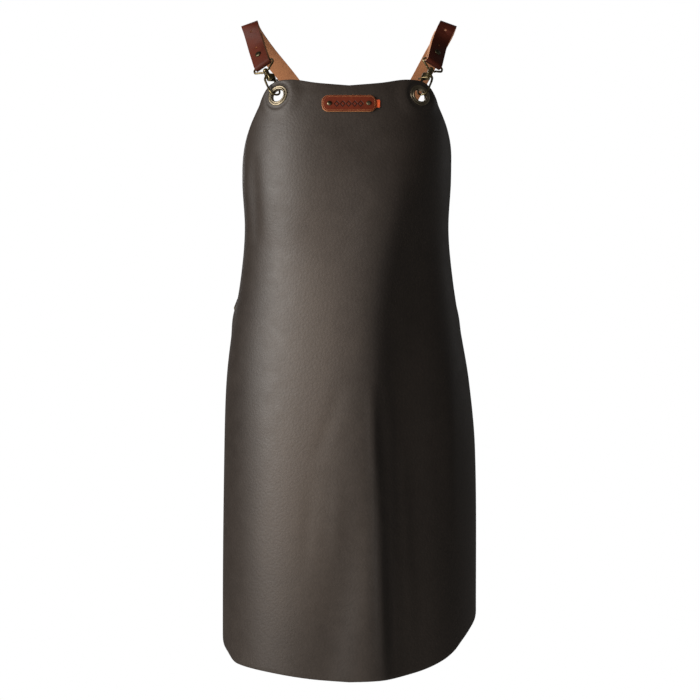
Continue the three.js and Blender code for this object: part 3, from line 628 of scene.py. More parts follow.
@dataclass
class LeatherForm:
    """The torso-shaped surface that the leather hangs on, by arc length and height in mm."""

    depth: List[Pair] = field(default_factory=lambda: [(-940, 126), (-750, 125), (-570, 122), (-440, 115),
        (-345, 113), (-265, 117), (-185, 112), (-117, 99), (-90, 91)])
    half_left: List[Pair] = field(default_factory=lambda: [(-850, 181), (-618, 179), (-517, 176), (-445, 168),
        (-373, 156), (-301, 150), (-229, 154), (-156, 151), (-90, 140)])
    half_right: List[Pair] = field(default_factory=lambda: [(-850, 182), (-618, 181), (-517, 172), (-445, 160),
        (-373, 149), (-301, 143), (-229, 147), (-156, 147), (-90, 140)])
    roundness: List[Pair] = field(default_factory=lambda: [(-900, 1.55), (-450, 1.7), (-300, 1.85), (-90, 1.95)])
    curl_left: List[Pair] = field(default_factory=lambda: [(-900, 0.42), (-300, 0.5)])
    curl_right: List[Pair] = field(default_factory=lambda: [(-900, 0.1), (-560, 0.16), (-400, 0.42)])
    ridge_line: List[Pair] = field(default_factory=lambda: [(-940, 45), (-770, 43), (-690, 38), (-600, 31),
        (-432, 34), (-350, 46), (-264, 66), (-180, 92)])
    ridge_rise: List[Pair] = field(default_factory=lambda: [(-900, 10), (-600, 12), (-400, 11), (-264, 7), (-165, 0)])
    ridge_left: List[Pair] = field(default_factory=lambda: [(-900, 62), (-400, 82), (-264, 74)])
    ridge_right: List[Pair] = field(default_factory=lambda: [(-900, 24), (-500, 31), (-264, 40)])
    folds: Tuple[Fold, ...] = (Fold(108, 104, 34, 40, -4, -200, -420), Fold(24, -14, 36, 28, -3.4, -640, -840),
        Fold(-85, -110, 34, 40, 0.8, -420, -720))
    chest: Pair = (103, -114)
    waist: Pair = (240, -423)
    seat: float = 17.0
    spread: float = 38.0
    steps: int = 28

    def __post_init__(self) -> None:
        """Finds the flat seat under each eyelet."""
        self.eyelets: Dict[Station, Tuple[float, float, Perch]] = {}
        for station in Station:
            s, z = self.chest if station.chest else self.waist
            centre = station.side * s
            self.eyelets[station] = (centre, z, self._perch(self.bare, centre, z))

    def turn(self, s: np.ndarray, z: np.ndarray) -> np.ndarray:
        """How far the leather has turned from facing forwards.

        Args:
            s: arc length from the middle, mm.
            z: height, mm.

        Returns:
            The turn in radians, easing to a little past a quarter turn.
        """
        left = s < 0
        half = np.where(left, through(self.half_left, z), through(self.half_right, z))
        power = through(self.roundness, z)
        curl = np.where(left, through(self.curl_left, z), through(self.curl_right, z))
        share = 0.47 + 0.25 * (power - 0.5) ** 0.62
        t = np.abs(s) * share / half
        quarter = np.pi / 2
        beyond = quarter + curl * (1 - np.exp(-(np.maximum(t, 1) - 1) * power * quarter / curl))
        return np.where(t <= 1, quarter * t ** power, beyond)

    def rise(self, s: np.ndarray, z: np.ndarray) -> np.ndarray:
        """How far the long ridge and the folds lift the leather."""
        line = through(self.ridge_line, z)
        wide = np.where(s < line, through(self.ridge_left, z), through(self.ridge_right, z))
        ridge = through(self.ridge_rise, z) * np.exp(-((s - line) / wide) ** 2)
        return ridge + sum(fold.rise(s, z) for fold in self.folds)

    def bare(self, s: np.ndarray, z: np.ndarray) -> np.ndarray:
        """The middle surface before the eyelets flatten it.

        Args:
            s: arc length from the middle, mm.
            z: height, mm.

        Returns:
            Rows of x, y, z in mm.
        """
        s, z = np.broadcast_arrays(np.asarray(s, float), np.asarray(z, float))
        side = np.sign(s)
        step = np.abs(s) / self.steps
        x, y = np.zeros_like(s), np.zeros_like(s)
        for i in range(self.steps):
            turn = self.turn(side * (i + 0.5) * step, z)
            x += np.cos(turn) * step
            y += np.sin(turn) * step
        turn = self.turn(s, z)
        rise = self.rise(s, z)
        return np.stack([side * (x + np.sin(turn) * rise),
                         y - through(self.depth, z) - np.cos(turn) * rise, z + SHOULDER_LIFT], -1)

    def point(self, s: np.ndarray, z: np.ndarray) -> np.ndarray:
        """The middle surface, lying flat under each eyelet.

        Args:
            s: arc length from the middle, mm.
            z: height, mm.

        Returns:
            Rows of x, y, z in mm.
        """
        s, z = np.broadcast_arrays(np.asarray(s, float), np.asarray(z, float))
        made = self.bare(s, z)
        for centre, height, perch in self.eyelets.values():
            away = np.hypot(s - centre, z - height)
            flat = (perch.at + perch.across * (s - centre)[..., None]
                    + perch.up * ((z - height) / max(perch.up[2], 0.5))[..., None])
            keep = ease(away, self.seat, self.spread)[..., None]
            made = flat * (1 - keep) + made * keep
        return made

    @staticmethod
    def _axes(surface: Surface, s: np.ndarray, z: np.ndarray) -> Tuple[np.ndarray, np.ndarray, np.ndarray]:
        """Unit axes across, up and out on a surface."""
        h = 0.5
        across = surface(s + h, z) - surface(s - h, z)
        across /= np.linalg.norm(across, axis=-1, keepdims=True)
        rough = surface(s, z + h) - surface(s, z - h)
        out = np.cross(across, rough)
        out /= np.linalg.norm(out, axis=-1, keepdims=True)
        return across, np.cross(out, across), out

    def _perch(self, surface: Surface, s: float, z: float) -> Perch:
        """The place and axes at one point of a surface."""
        s_, z_ = np.array(float(s)), np.array(float(z))
        return Perch(surface(s_, z_), *self._axes(surface, s_, z_))

    def perch(self, s: float, z: float) -> Perch:
        """The place and axes at one point of the leather."""
        return self._perch(self.point, s, z)

    def bent(self, s: np.ndarray, z: np.ndarray, off: np.ndarray) -> np.ndarray:
        """Points off the middle surface, in metres."""
        _, _, out = self._axes(self.point, s, z)
        return (self.point(s, z) + out * off[..., None]) * MM

    def bend_mesh(self, obj: bpy.types.Object) -> None:
        """Bends a piece drawn flat (x across, y up, z off the middle, metres) onto the form."""
        mesh = obj.data
        flat = np.empty(len(mesh.vertices) * 3)
        mesh.vertices.foreach_get("co", flat)
        flat = flat.reshape(-1, 3) / MM
        mesh.vertices.foreach_set("co", self.bent(flat[:, 0], flat[:, 1], flat[:, 2]).ravel())
        mesh.update()


# ---- the apron leather ---------------------------------------------------------------------------

# Fold lines and soft dents: start, end, half width and rise, mm.
CREASES: Tuple[Tuple[Pair, Pair, float, float], ...] = (
    ((-148, -190), (-140, -330), 11, -2.0),
    ((-168, -200), (-160, -330), 10, 1.0),
    ((30, -520), (40, -720), 5.5, 1.5),
    ((39, -680), (47, -935), 5.0, 1.8),
    ((42, -520), (53, -720), 8.0, -1.6),
    ((52, -680), (60, -935), 7.5, -2.2),
    ((74, -600), (92, -930), 9.0, 1.0),
    ((152, -470), (158, -760), 14, 1.6),
    ((-8, -520), (-50, -640), 10, -0.7),
    ((-50, -640), (-64, -800), 10, -0.6),
    ((-14, -640), (-20, -770), 9, 0.6),
    ((-20, -170), (60, -205), 16, -0.8),
    ((-70, -300), (30, -345), 26, -0.7),
)

# Lighter and darker places painted into the apron's colour. They sit where the key lamp falls, so they are painted
# highlights and painted shade, with a painted shadow down the ridge's right flank; waxed leather also lightens where
# it is stretched. Columns: s, z, half width, half height, lean, amount.
WAX_PULL_AND_PAINTED_LIGHT: Tuple[Tuple[float, float, float, float, float, float], ...] = (
    # painted highlights: the broad lit band left of the middle and the lit ridge
    (-55, -440, 64, 250, 0.0, 0.66),
    (-80, -700, 56, 180, 0.0, 0.5),
    (24, -780, 16, 150, 0.02, 0.22),
    # painted shade: the left edge and the right side turned from the key lamp
    (-170, -340, 60, 280, 0.0, -0.42),
    (-205, -720, 60, 300, 0.0, -0.34),
    (125, -640, 80, 330, 0.0, -0.36),
    # painted shadow down the ridge's right flank
    (58, -350, 15, 120, 0.19, -0.45),
    (47, -700, 16, 250, 0.0, -0.9),
)


@dataclass
class ApronPanel:
    """The one-piece leather with its eyelet and rivet holes."""

    form: LeatherForm
    thick: float = 1.8
    grid: float = 5.0
    hole: float = 10.35
    rivet_hole: float = 1.65
    rivet_spacing: float = 55.0
    rivet_height: float = -128.0
    ring_steps: int = 48
    rivet_ring_steps: int = 16
    eyelet_rings: Tuple[float, ...] = (11.6, 13.4, 15.2, 16.7, 18.2, 19.7, 21.6, 24.0)
    rivet_rings: Tuple[float, ...] = (3.4,)
    eyelet_clear: float = 26.5
    rivet_clear: float = 5.0
    edge_round: Tuple[Pair, ...] = ((0.4, 0.75), (1.1, 1.0))  # inset from the cut edge, share of the thickness

    def outline(self) -> np.ndarray:
        """The cut edge as a closed line, mm."""
        armhole = [(264, -416), (257, -405), (244, -400), (233, -388), (227, -350), (215, -280), (198, -220),
                   (180, -186), (162, -160), (144, -135), (132, -117)]
        corner = [(124.5, -104), (117, -96.5), (104, -92)]
        neck = [(76, -92), (45, -97), (0, -101)]
        hem_right = [(262, -800), (250, -842), (235, -857), (205, -871), (180, -886), (160, -901), (135, -914),
                     (100, -925.5), (50, -934), (0, -937)]
        hem_left = [(50, -934.5), (120, -926), (165, -921), (185, -917), (205, -906), (235, -893), (252, -872),
                    (262, -846), (265, -810)]

        def mirrored(points: Sequence[Pair]) -> List[Pair]:
            """The same places on the other side."""
            return [(-s, z) for s, z in points]

        line: List[Pair] = [(-265, -425)]
        line += spline_through(line[-1:] + mirrored(armhole + corner + neck), 8)
        line += spline_through(line[-1:] + (corner + neck[:2])[::-1], 8)
        line += spline_through(line[-1:] + armhole[::-1], 8)
        line += [(265, -425 - 4.9 * k) for k in range(1, 69)]
        line += spline_through(line[-1:] + hem_right, 8)
        line += spline_through(line[-1:] + mirrored(hem_left), 8)
        line += [(-265, -810 + 5 * k) for k in range(1, 77)]
        points = np.array(line)
        keep = [0]
        for i in range(1, len(points)):
            if np.hypot(*(points[i] - points[keep[-1]])) > 0.9:
                keep.append(i)
        return points[keep]

    @staticmethod
    def inset(loop: np.ndarray, by: float) -> np.ndarray:
        """A closed line moved inwards."""
        ahead = np.roll(loop, -1, 0) - np.roll(loop, 1, 0)
        normal = np.stack([-ahead[:, 1], ahead[:, 0]], -1)
        normal /= np.linalg.norm(normal, axis=1, keepdims=True)
        area = np.sum(loop[:, 0] * np.roll(loop[:, 1], -1) - np.roll(loop[:, 0], -1) * loop[:, 1])
        return loop + normal * by * (1 if area > 0 else -1)

    @staticmethod
    def within(points: np.ndarray, loop: np.ndarray) -> np.ndarray:
        """Which points lie inside a closed line."""
        inside = np.zeros(len(points), bool)
        for a, b in zip(loop, np.roll(loop, -1, 0)):
            crosses = (a[1] > points[:, 1]) != (b[1] > points[:, 1])
            if crosses.any():
                x = a[0] + (points[:, 1] - a[1]) * (b[0] - a[0]) / (b[1] - a[1] if b[1] != a[1] else 1e-12)
                inside ^= crosses & (points[:, 0] < x)
        return inside

    def holes(self) -> List[Tuple[float, float, float]]:
        """Each hole as (s, z, radius)."""
        found = [(s, z, self.hole) for s, z, _ in self.form.eyelets.values()]
        return found + [(side * self.rivet_spacing / 2, self.rivet_height, self.rivet_hole) for side in (-1, 1)]

    def pressed(self, s: np.ndarray, z: np.ndarray) -> np.ndarray:
        """How far wear, fold lines and the eyelets' pressed rings move the leather outwards, mm."""
        off = np.zeros_like(s)
        for centre, height, _ in self.form.eyelets.values():
            away = np.hypot(s - centre, z - height)
            off -= 0.55 * np.exp(-((away - 18.2) / 1.5) ** 2)
            off += 0.22 * np.exp(-((away - 22.5) / 2.4) ** 2)
        for (s0, z0), (s1, z1), width, height in CREASES:
            d = np.array([s1 - s0, z1 - z0], float)
            length = np.hypot(*d)
            d /= length
            run = (s - s0) * d[0] + (z - z0) * d[1]
            side = -(s - s0) * d[1] + (z - z0) * d[0]
            along = np.clip(run / length, 0, 1)
            past = np.maximum(0, np.maximum(-run, run - length))
            body = np.sin(np.pi * np.clip(along, 0.0, 1.0)) ** 0.6
            off += height * body * np.exp(-(side / width) ** 2 - (past / width) ** 2)
        return off

    def build(self) -> bpy.types.Object:
        """Cuts the leather flat with rounded edges and bends it onto the form.

        Returns:
            The panel.
        """
        half = self.thick / 2
        edge = self.outline()
        loops: List[Tuple[np.ndarray, float]] = [(edge, 0.3)]
        loops += [(self.inset(edge, inwards), share_left) for inwards, share_left in self.edge_round]
        rings: List[Tuple[np.ndarray, float]] = []
        turns = 2 * np.pi * np.arange(self.ring_steps) / self.ring_steps
        circle = np.stack([np.cos(turns), np.sin(turns)], -1)
        gone: List[Tuple[float, float, float]] = []
        for s, z, radius in self.holes():
            eyelet = radius == self.hole
            ring = circle if eyelet else circle[:: self.ring_steps // self.rivet_ring_steps]
            spot = np.array([s, z])
            loops.append((spot + ring * radius, 0.85))
            rings += [(spot + ring * grown, 1.0) for grown in (self.eyelet_rings if eyelet else self.rivet_rings)]
            gone.append((s, z, self.eyelet_clear if eyelet else self.rivet_clear))
        us, vs = np.meshgrid(np.arange(-262.5, 265, self.grid), np.arange(-935, -90, self.grid))
        grid = np.stack([us.ravel(), vs.ravel()], -1)
        grid = grid[self.within(grid, self.inset(edge, 3.2))]
        for s, z, radius in gone:
            grid = grid[np.hypot(grid[:, 0] - s, grid[:, 1] - z) > radius]
        points: List[Pair] = []
        share: List[float] = []
        edges: List[Tuple[int, int]] = []
        for loop, height in loops:
            first = len(points)
            points += [(float(a), float(b)) for a, b in loop]
            share += [height] * len(loop)
            edges += [(first + i, first + (i + 1) % len(loop)) for i in range(len(loop))]
        for loop, height in rings:
            loop = loop[self.within(loop, self.inset(edge, 2.4))]
            points += [(float(a), float(b)) for a, b in loop]
            share += [height] * len(loop)
        points += [(float(a), float(b)) for a, b in grid]
        share += [1.0] * len(grid)
        made, _, faces, origin, _, _ = delaunay_2d_cdt([Vector(p) for p in points], edges, [], 0, 1e-5)
        flat = np.array([tuple(v) for v in made])
        heights = np.array([share[o[0]] if o else 1.0 for o in origin])
        tris = np.array([f for f in faces if len(f) == 3])
        centres = flat[tris].mean(1)
        keep = self.within(centres, edge)
        for s, z, radius in self.holes():
            keep &= np.hypot(centres[:, 0] - s, centres[:, 1] - z) > radius * 0.995
        tris = tris[keep]
        a, b, c = flat[tris[:, 0]], flat[tris[:, 1]], flat[tris[:, 2]]
        area = (b[:, 0] - a[:, 0]) * (c[:, 1] - a[:, 1]) - (b[:, 1] - a[:, 1]) * (c[:, 0] - a[:, 0])
        tris = np.where((area < 0)[:, None], tris[:, ::-1], tris)
        self.area = float(np.abs(area).sum() / 2) * MM * MM
        shift = self.pressed(flat[:, 0], flat[:, 1])
        front = self.form.bent(flat[:, 0], flat[:, 1], shift + half * heights)
        back = self.form.bent(flat[:, 0], flat[:, 1], shift - half * heights)
        n = len(flat)
        directed = {(t[i], t[j]): True for t in tris.tolist() for i, j in ((0, 1), (1, 2), (2, 0))}
        rim = [(i, j) for (i, j) in directed if (j, i) not in directed]
        quads = [(j, i, n + i, n + j) for i, j in rim]
        mesh = bpy.data.meshes.new("apron_leather_panel")
        sides = tris.tolist() + (tris[:, ::-1] + n).tolist() + quads
        mesh.from_pydata(np.concatenate([front, back]).tolist(), [], sides)
        mesh.update()
        flat_map = mesh.uv_layers.new(name="flat")
        owner = np.empty(len(mesh.loops), int)
        mesh.loops.foreach_get("vertex_index", owner)
        flat_map.data.foreach_set("uv", ((flat[owner % n]) * MM).ravel())
        # per-point attribute of painted highlights and painted shade, read by the apron's grain material
        pulled_and_painted_light = mesh.attributes.new("pulled_and_painted_light", "FLOAT", "POINT")
        pulled_and_painted_light.data.foreach_set("value", np.tile(self.pulled_and_painted_light(flat[:, 0], flat[:, 1]), 2))
        slots = np.concatenate([np.zeros(len(tris), int), np.ones(len(tris), int), np.full(len(quads), 2)])
        mesh.polygons.foreach_set("material_index", slots)
        obj = bpy.data.objects.new("apron_leather_panel", mesh)
        bpy.context.scene.collection.objects.link(obj)
        pick(obj)
        drop_loose_points(mesh)
        bpy.ops.object.shade_smooth_by_angle(angle=math.radians(50))
        return obj

    @staticmethod
    def pulled_and_painted_light(s: np.ndarray, z: np.ndarray) -> np.ndarray:
        """Painted highlights (above 0) and painted shade (below 0) on the apron, set as lighter and darker places of
        the waxed hide.
        """
        tone = np.zeros_like(s)
        for s0, z0, wide, tall, lean, amount in WAX_PULL_AND_PAINTED_LIGHT:
            u = (s - s0 - lean * (z - z0)) / wide
            v = (z - z0) / tall
            tone += amount * np.exp(-u * u - v * v)
        return tone

    def dress(self, obj: bpy.types.Object, grain: bpy.types.Material, flesh: bpy.types.Material,
              cut: bpy.types.Material) -> None:
        """Gives the three faces their hides, hides the panel's solid and hangs the panel on the apron's body.

        Args:
            obj: the panel.
            grain: outer face.
            flesh: inner face.
            cut: the edge.
        """
        for material in (grain, flesh, cut):
            obj.data.materials.append(material)
        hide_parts("apron_panel")
        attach(obj, "apron")


def drop_loose_points(mesh: bpy.types.Mesh) -> None:
    """Removes loose points left beside the cut edge."""
    bm = bmesh.new()
    bm.from_mesh(mesh)
    bmesh.ops.delete(bm, geom=[v for v in bm.verts if not v.link_faces], context="VERTS")
    bm.to_mesh(mesh)
    bm.free()
    mesh.update()


# ---- metalwork on the leather --------------------------------------------------------------------


@dataclass
class Eyelets:
    """Four large rolled eyelets set through the leather and turned over washers behind."""

    form: LeatherForm
    outer: float = 15.5
    inner: float = 9.25
    wall: float = 0.75
    flange: float = 1.5
    seat: float = 1.25
    washer_back: float = -2.6

    def build(self) -> List[bpy.types.Object]:
        """Turns one eyelet and sets a copy at each station.

        Returns:
            The four eyelets.
        """
        back, seat, crown = self.washer_back, self.seat, self.seat + self.flange
        bore, rim = self.inner, self.outer
        profile = [
            (bore, back - 0.5), (bore, seat + 0.1), (bore + 0.15, seat + 0.7),
            (bore + 0.55, crown - 0.35), (bore + 1.2, crown - 0.04), (bore + 1.8, crown),
            (bore + 2.4, crown - 0.12), (bore + 2.85, crown - 0.5), (bore + 3.05, seat + 0.62),
            (bore + 3.3, seat + 0.55), (bore + 3.6, seat + 0.72), (rim - 1.5, seat + 0.8),
            (rim - 0.6, seat + 0.62), (rim - 0.12, seat + 0.3), (rim, seat + 0.1),
            (rim - 0.1, seat),
            (bore + self.wall, seat), (bore + self.wall, back), (bore + 2.0, back),
            (bore + 2.3, back - 0.25), (bore + 2.1, back - 0.7), (bore + 1.5, back - 0.88),
            (bore + 0.7, back - 0.86), (bore + 0.2, back - 0.7), (bore, back - 0.5),
        ]
        pattern = turned("eyelet_pattern", profile, steps=72)
        made = []
        for station, (_, _, perch) in self.form.eyelets.items():
            made.append(copy_of(pattern, f"rolled_eyelet_{station.value}", perch.matrix()))
        drop(pattern)
        return made

    def dress(self, pieces: Sequence[bpy.types.Object], brass: bpy.types.Material) -> None:
        """Plates the eyelets and lets them stand for their solids.

        Args:
            pieces: the eyelets, in the order of the stations.
            brass: their plating.
        """
        for station, piece in zip(Station, pieces):
            piece.data.materials.append(brass)
            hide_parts(f"eyelet_{station.value}")
            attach(piece, "apron")


@dataclass
class Badge:
    """The small leather badge, held flat by two rivets, with a woven tag under its right end."""

    form: LeatherForm
    length: float = 76.0
    height: float = 23.5
    thick: float = 2.4
    corner: float = 9.0
    z: float = -128.0
    back: float = 1.25
    rivet_spacing: float = 55.0
    tag_tucked: float = 6.0
    tag_showing: float = 5.5
    tag_height: float = 11.0
    tag_thick: float = 0.8

    def build_patch(self) -> bpy.types.Object:
        """Cuts the badge with a sunk border line and rounded edges.

        Returns:
            The badge patch, bent onto the form.
        """
        deselect()
        bpy.ops.mesh.primitive_plane_add(size=1, location=(0, 0, 0))
        obj = take("chestnut_badge")
        edit(obj)
        bpy.ops.transform.resize(value=(self.length * MM, self.height * MM, 1))
        bpy.ops.mesh.bevel(offset=self.corner * MM, segments=9, affect="VERTICES", profile=0.5)
        bpy.ops.mesh.select_all(action="SELECT")
        bpy.ops.mesh.extrude_region_move(TRANSFORM_OT_translate={"value": (0, 0, (self.thick - 0.75) * MM)})
        for inset, rise in ((0.5, 0.6), (0.4, 0.15), (0.9, 0.0), (0.2, -0.34), (0.35, 0.0), (0.25, 0.34)):
            self._step(inset, rise)
        bpy.ops.mesh.select_all(action="SELECT")
        bpy.ops.transform.translate(value=(0, self.z * MM, self.back * MM))
        for k in range(-9, 10):
            bpy.ops.mesh.select_all(action="SELECT")
            bpy.ops.mesh.bisect(plane_co=(k * 4.0 * MM, 0, 0), plane_no=(1, 0, 0))
        bpy.ops.object.mode_set(mode="OBJECT")
        tab = block("tag_slot", (self.length / 2 - self.tag_tucked - GAP, self.z - self.tag_height / 2 - GAP, -1),
                    (self.length / 2 + 4, self.z + self.tag_height / 2 + GAP, self.back + self.tag_thick + GAP))
        combine(obj, tab, "DIFFERENCE")
        for side in (-1, 1):
            hole = turned("rivet_hole", [(0, -3), (1.65, -3), (1.65, 6), (0, 6)], 24)
            hole.data.transform(Matrix.Translation((side * self.rivet_spacing / 2 * MM, self.z * MM, 0)))
            combine(obj, hole, "DIFFERENCE")
        self.form.bend_mesh(obj)
        finish_mesh(obj, smooth_deg=42)
        return obj

    @staticmethod
    def _step(inset: float, rise: float) -> None:
        """Draws the selected face in and up or down, mm."""
        bpy.ops.mesh.inset(thickness=inset * MM, depth=0)
        if rise:
            bpy.ops.transform.translate(value=(0, 0, rise * MM))

    def build_tag(self) -> bpy.types.Object:
        """Cuts the tag: a folded loop of tape with a rounded fold showing.

        Returns:
            The tag, bent onto the form.
        """
        end, half = self.length / 2, self.tag_height / 2
        tag = block("orange_tag", (end - self.tag_tucked, self.z - half, self.back),
                    (end + self.tag_showing, self.z + half, self.back + self.tag_thick), 0.18, 3)
        edit(tag)
        for k in range(-2, 3):
            bpy.ops.mesh.select_all(action="SELECT")
            bpy.ops.mesh.bisect(plane_co=((end + k * 2) * MM, 0, 0), plane_no=(1, 0, 0))
        for k in range(-2, 3):
            bpy.ops.mesh.select_all(action="SELECT")
            bpy.ops.mesh.bisect(plane_co=(0, (self.z + k * 2.2) * MM, 0), plane_no=(0, 1, 0))
        bpy.ops.object.mode_set(mode="OBJECT")
        self.form.bend_mesh(tag)
        finish_mesh(tag)
        return tag

    def dress(self, patch: bpy.types.Object, tag: bpy.types.Object, grain: bpy.types.Material,
              cut: bpy.types.Material, weave: bpy.types.Material) -> None:
        """Finishes the badge's face and raw edge, and the tag's weave.

        Args:
            patch: the badge.
            tag: the woven tag.
            grain: the badge's face.
            cut: its raw edge.
            weave: the tape.
        """
        patch.data.materials.append(grain)
        patch.data.materials.append(cut)
        perch = self.form.perch(0, self.z)
        out = Vector([float(c) for c in perch.out])
        for face in patch.data.polygons:
            face.material_index = 0 if face.normal.dot(out) > 0.82 else 1
        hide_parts("badge_patch")
        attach(patch, "apron")
        tag.data.materials.append(weave)
        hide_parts("badge_tag")
        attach(tag, "apron")


@dataclass
class Fastener:
    """A domed rivet or stud with its post and the cap that closes it behind, mm."""

    head: float
    dome: float
    post: float
    cap: float
    cap_thick: float
    length: float
    seat: float

    def head_piece(self, name: str) -> bpy.types.Object:
        """Turns the domed head and its post, head's underside at zero."""
        rings = 9
        rim = 0.22
        profile = [(self.head * math.sin(math.pi / 2 * k / rings) ** 0.92,
                    rim + (self.dome - rim) * math.cos(math.pi / 2 * k / rings)) for k in range(rings + 1)]
        profile += [(self.head - 0.06, 0.05), (self.head - 0.2, 0.0), (self.post, 0.0),
                    (self.post, -self.length), (0, -self.length)]
        return turned(name, profile, 40)

    def cap_piece(self, name: str) -> bpy.types.Object:
        """Turns the cap with its socket."""
        bore = self.post + GAP
        floor = -self.length - GAP
        low = floor - self.cap_thick * 0.6
        profile = [(0, floor), (bore, floor), (bore, self.seat), (self.cap * 0.85, self.seat),
                   (self.cap * 0.97, self.seat - 0.2), (self.cap, self.seat - self.cap_thick * 0.4),
                   (self.cap * 0.93, low + 0.35), (self.cap * 0.8, low + 0.05), (self.cap * 0.5, low), (0, low)]
        return turned(name, profile, 40)


@dataclass
class Fasteners:
    """The badge's two rivets and the straps' four studs."""

    form: LeatherForm
    rivet: Fastener = field(default_factory=lambda: Fastener(3.3, 1.3, 1.3, 3.2, 1.3, 5.9, -(2.4 + 1.8 + 3 * GAP)))
    stud: Fastener = field(default_factory=lambda: Fastener(4.6, 2.1, 1.9, 4.4, 1.4, 6 + GAP + 1.5, -(6 + 3 * GAP)))
    rivet_at: Pair = (27.5, -128.0)
    rivet_lift: float = 1.25 + 2.4 + GAP  # over the leather's middle and the badge
    stud_at: float = 19.0
    stud_lift: float = 5.2

    def build(self, hangers: Dict[Station, Matrix]) -> List[Tuple[bpy.types.Object, str]]:
        """Sets every fastener.

        Args:
            hangers: the snap frame at each station.

        Returns:
            Each piece with the solid it stands for.
        """
        made: List[Tuple[bpy.types.Object, str]] = []
        rivet, rivet_cap = self.rivet.head_piece("rivet_pattern"), self.rivet.cap_piece("rivet_cap_pattern")
        for side, word in ((-1, "left"), (1, "right")):
            place = self.form.perch(side * self.rivet_at[0], self.rivet_at[1]).matrix(self.rivet_lift)
            made.append((copy_of(rivet, f"domed_rivet_{word}", place), f"badge_rivet_{word}"))
            made.append((copy_of(rivet_cap, f"rivet_back_{word}", place), f"badge_rivet_cap_{word}"))
        stud, stud_cap = self.stud.head_piece("stud_pattern"), self.stud.cap_piece("stud_cap_pattern")
        ends = {Station.CHEST_LEFT: ("front", "left", 14), Station.CHEST_RIGHT: ("front", "right", 14),
                Station.WAIST_LEFT: ("rear", "right", 6), Station.WAIST_RIGHT: ("rear", "left", 6)}
        for station, (end, strap, pitch) in ends.items():
            hanger = hangers[station]
            along, inward = hanger.col[2].to_3d(), hanger.col[1].to_3d()
            out = -inward
            hinge = along.cross(out)
            lean = Matrix.Rotation(-math.radians(pitch), 3, hinge)
            along, out = lean @ along, lean @ out
            at = hanger.translation + (out * self.stud_lift + along * self.stud_at) * MM
            across = along.cross(out)
            place = placing(across, out.cross(across), out, at)
            made.append((copy_of(stud, f"domed_stud_{end}_{strap}", place), f"stud_{end}_{strap}"))
            made.append((copy_of(stud_cap, f"stud_back_{end}_{strap}", place), f"stud_cap_{end}_{strap}"))
        drop(rivet, rivet_cap, stud, stud_cap)
        return made

    @staticmethod
    def dress(pieces: Sequence[Tuple[bpy.types.Object, str]], brass: bpy.types.Material) -> None:
        """Plates the fasteners.

        Args:
            pieces: each piece with the solid it stands for.
            brass: their plating.
        """
        for piece, solid in pieces:
            piece.data.materials.append(brass)
            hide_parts(solid)
            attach(piece, "apron")


# ---- swivel snaps --------------------------------------------------------------------------------


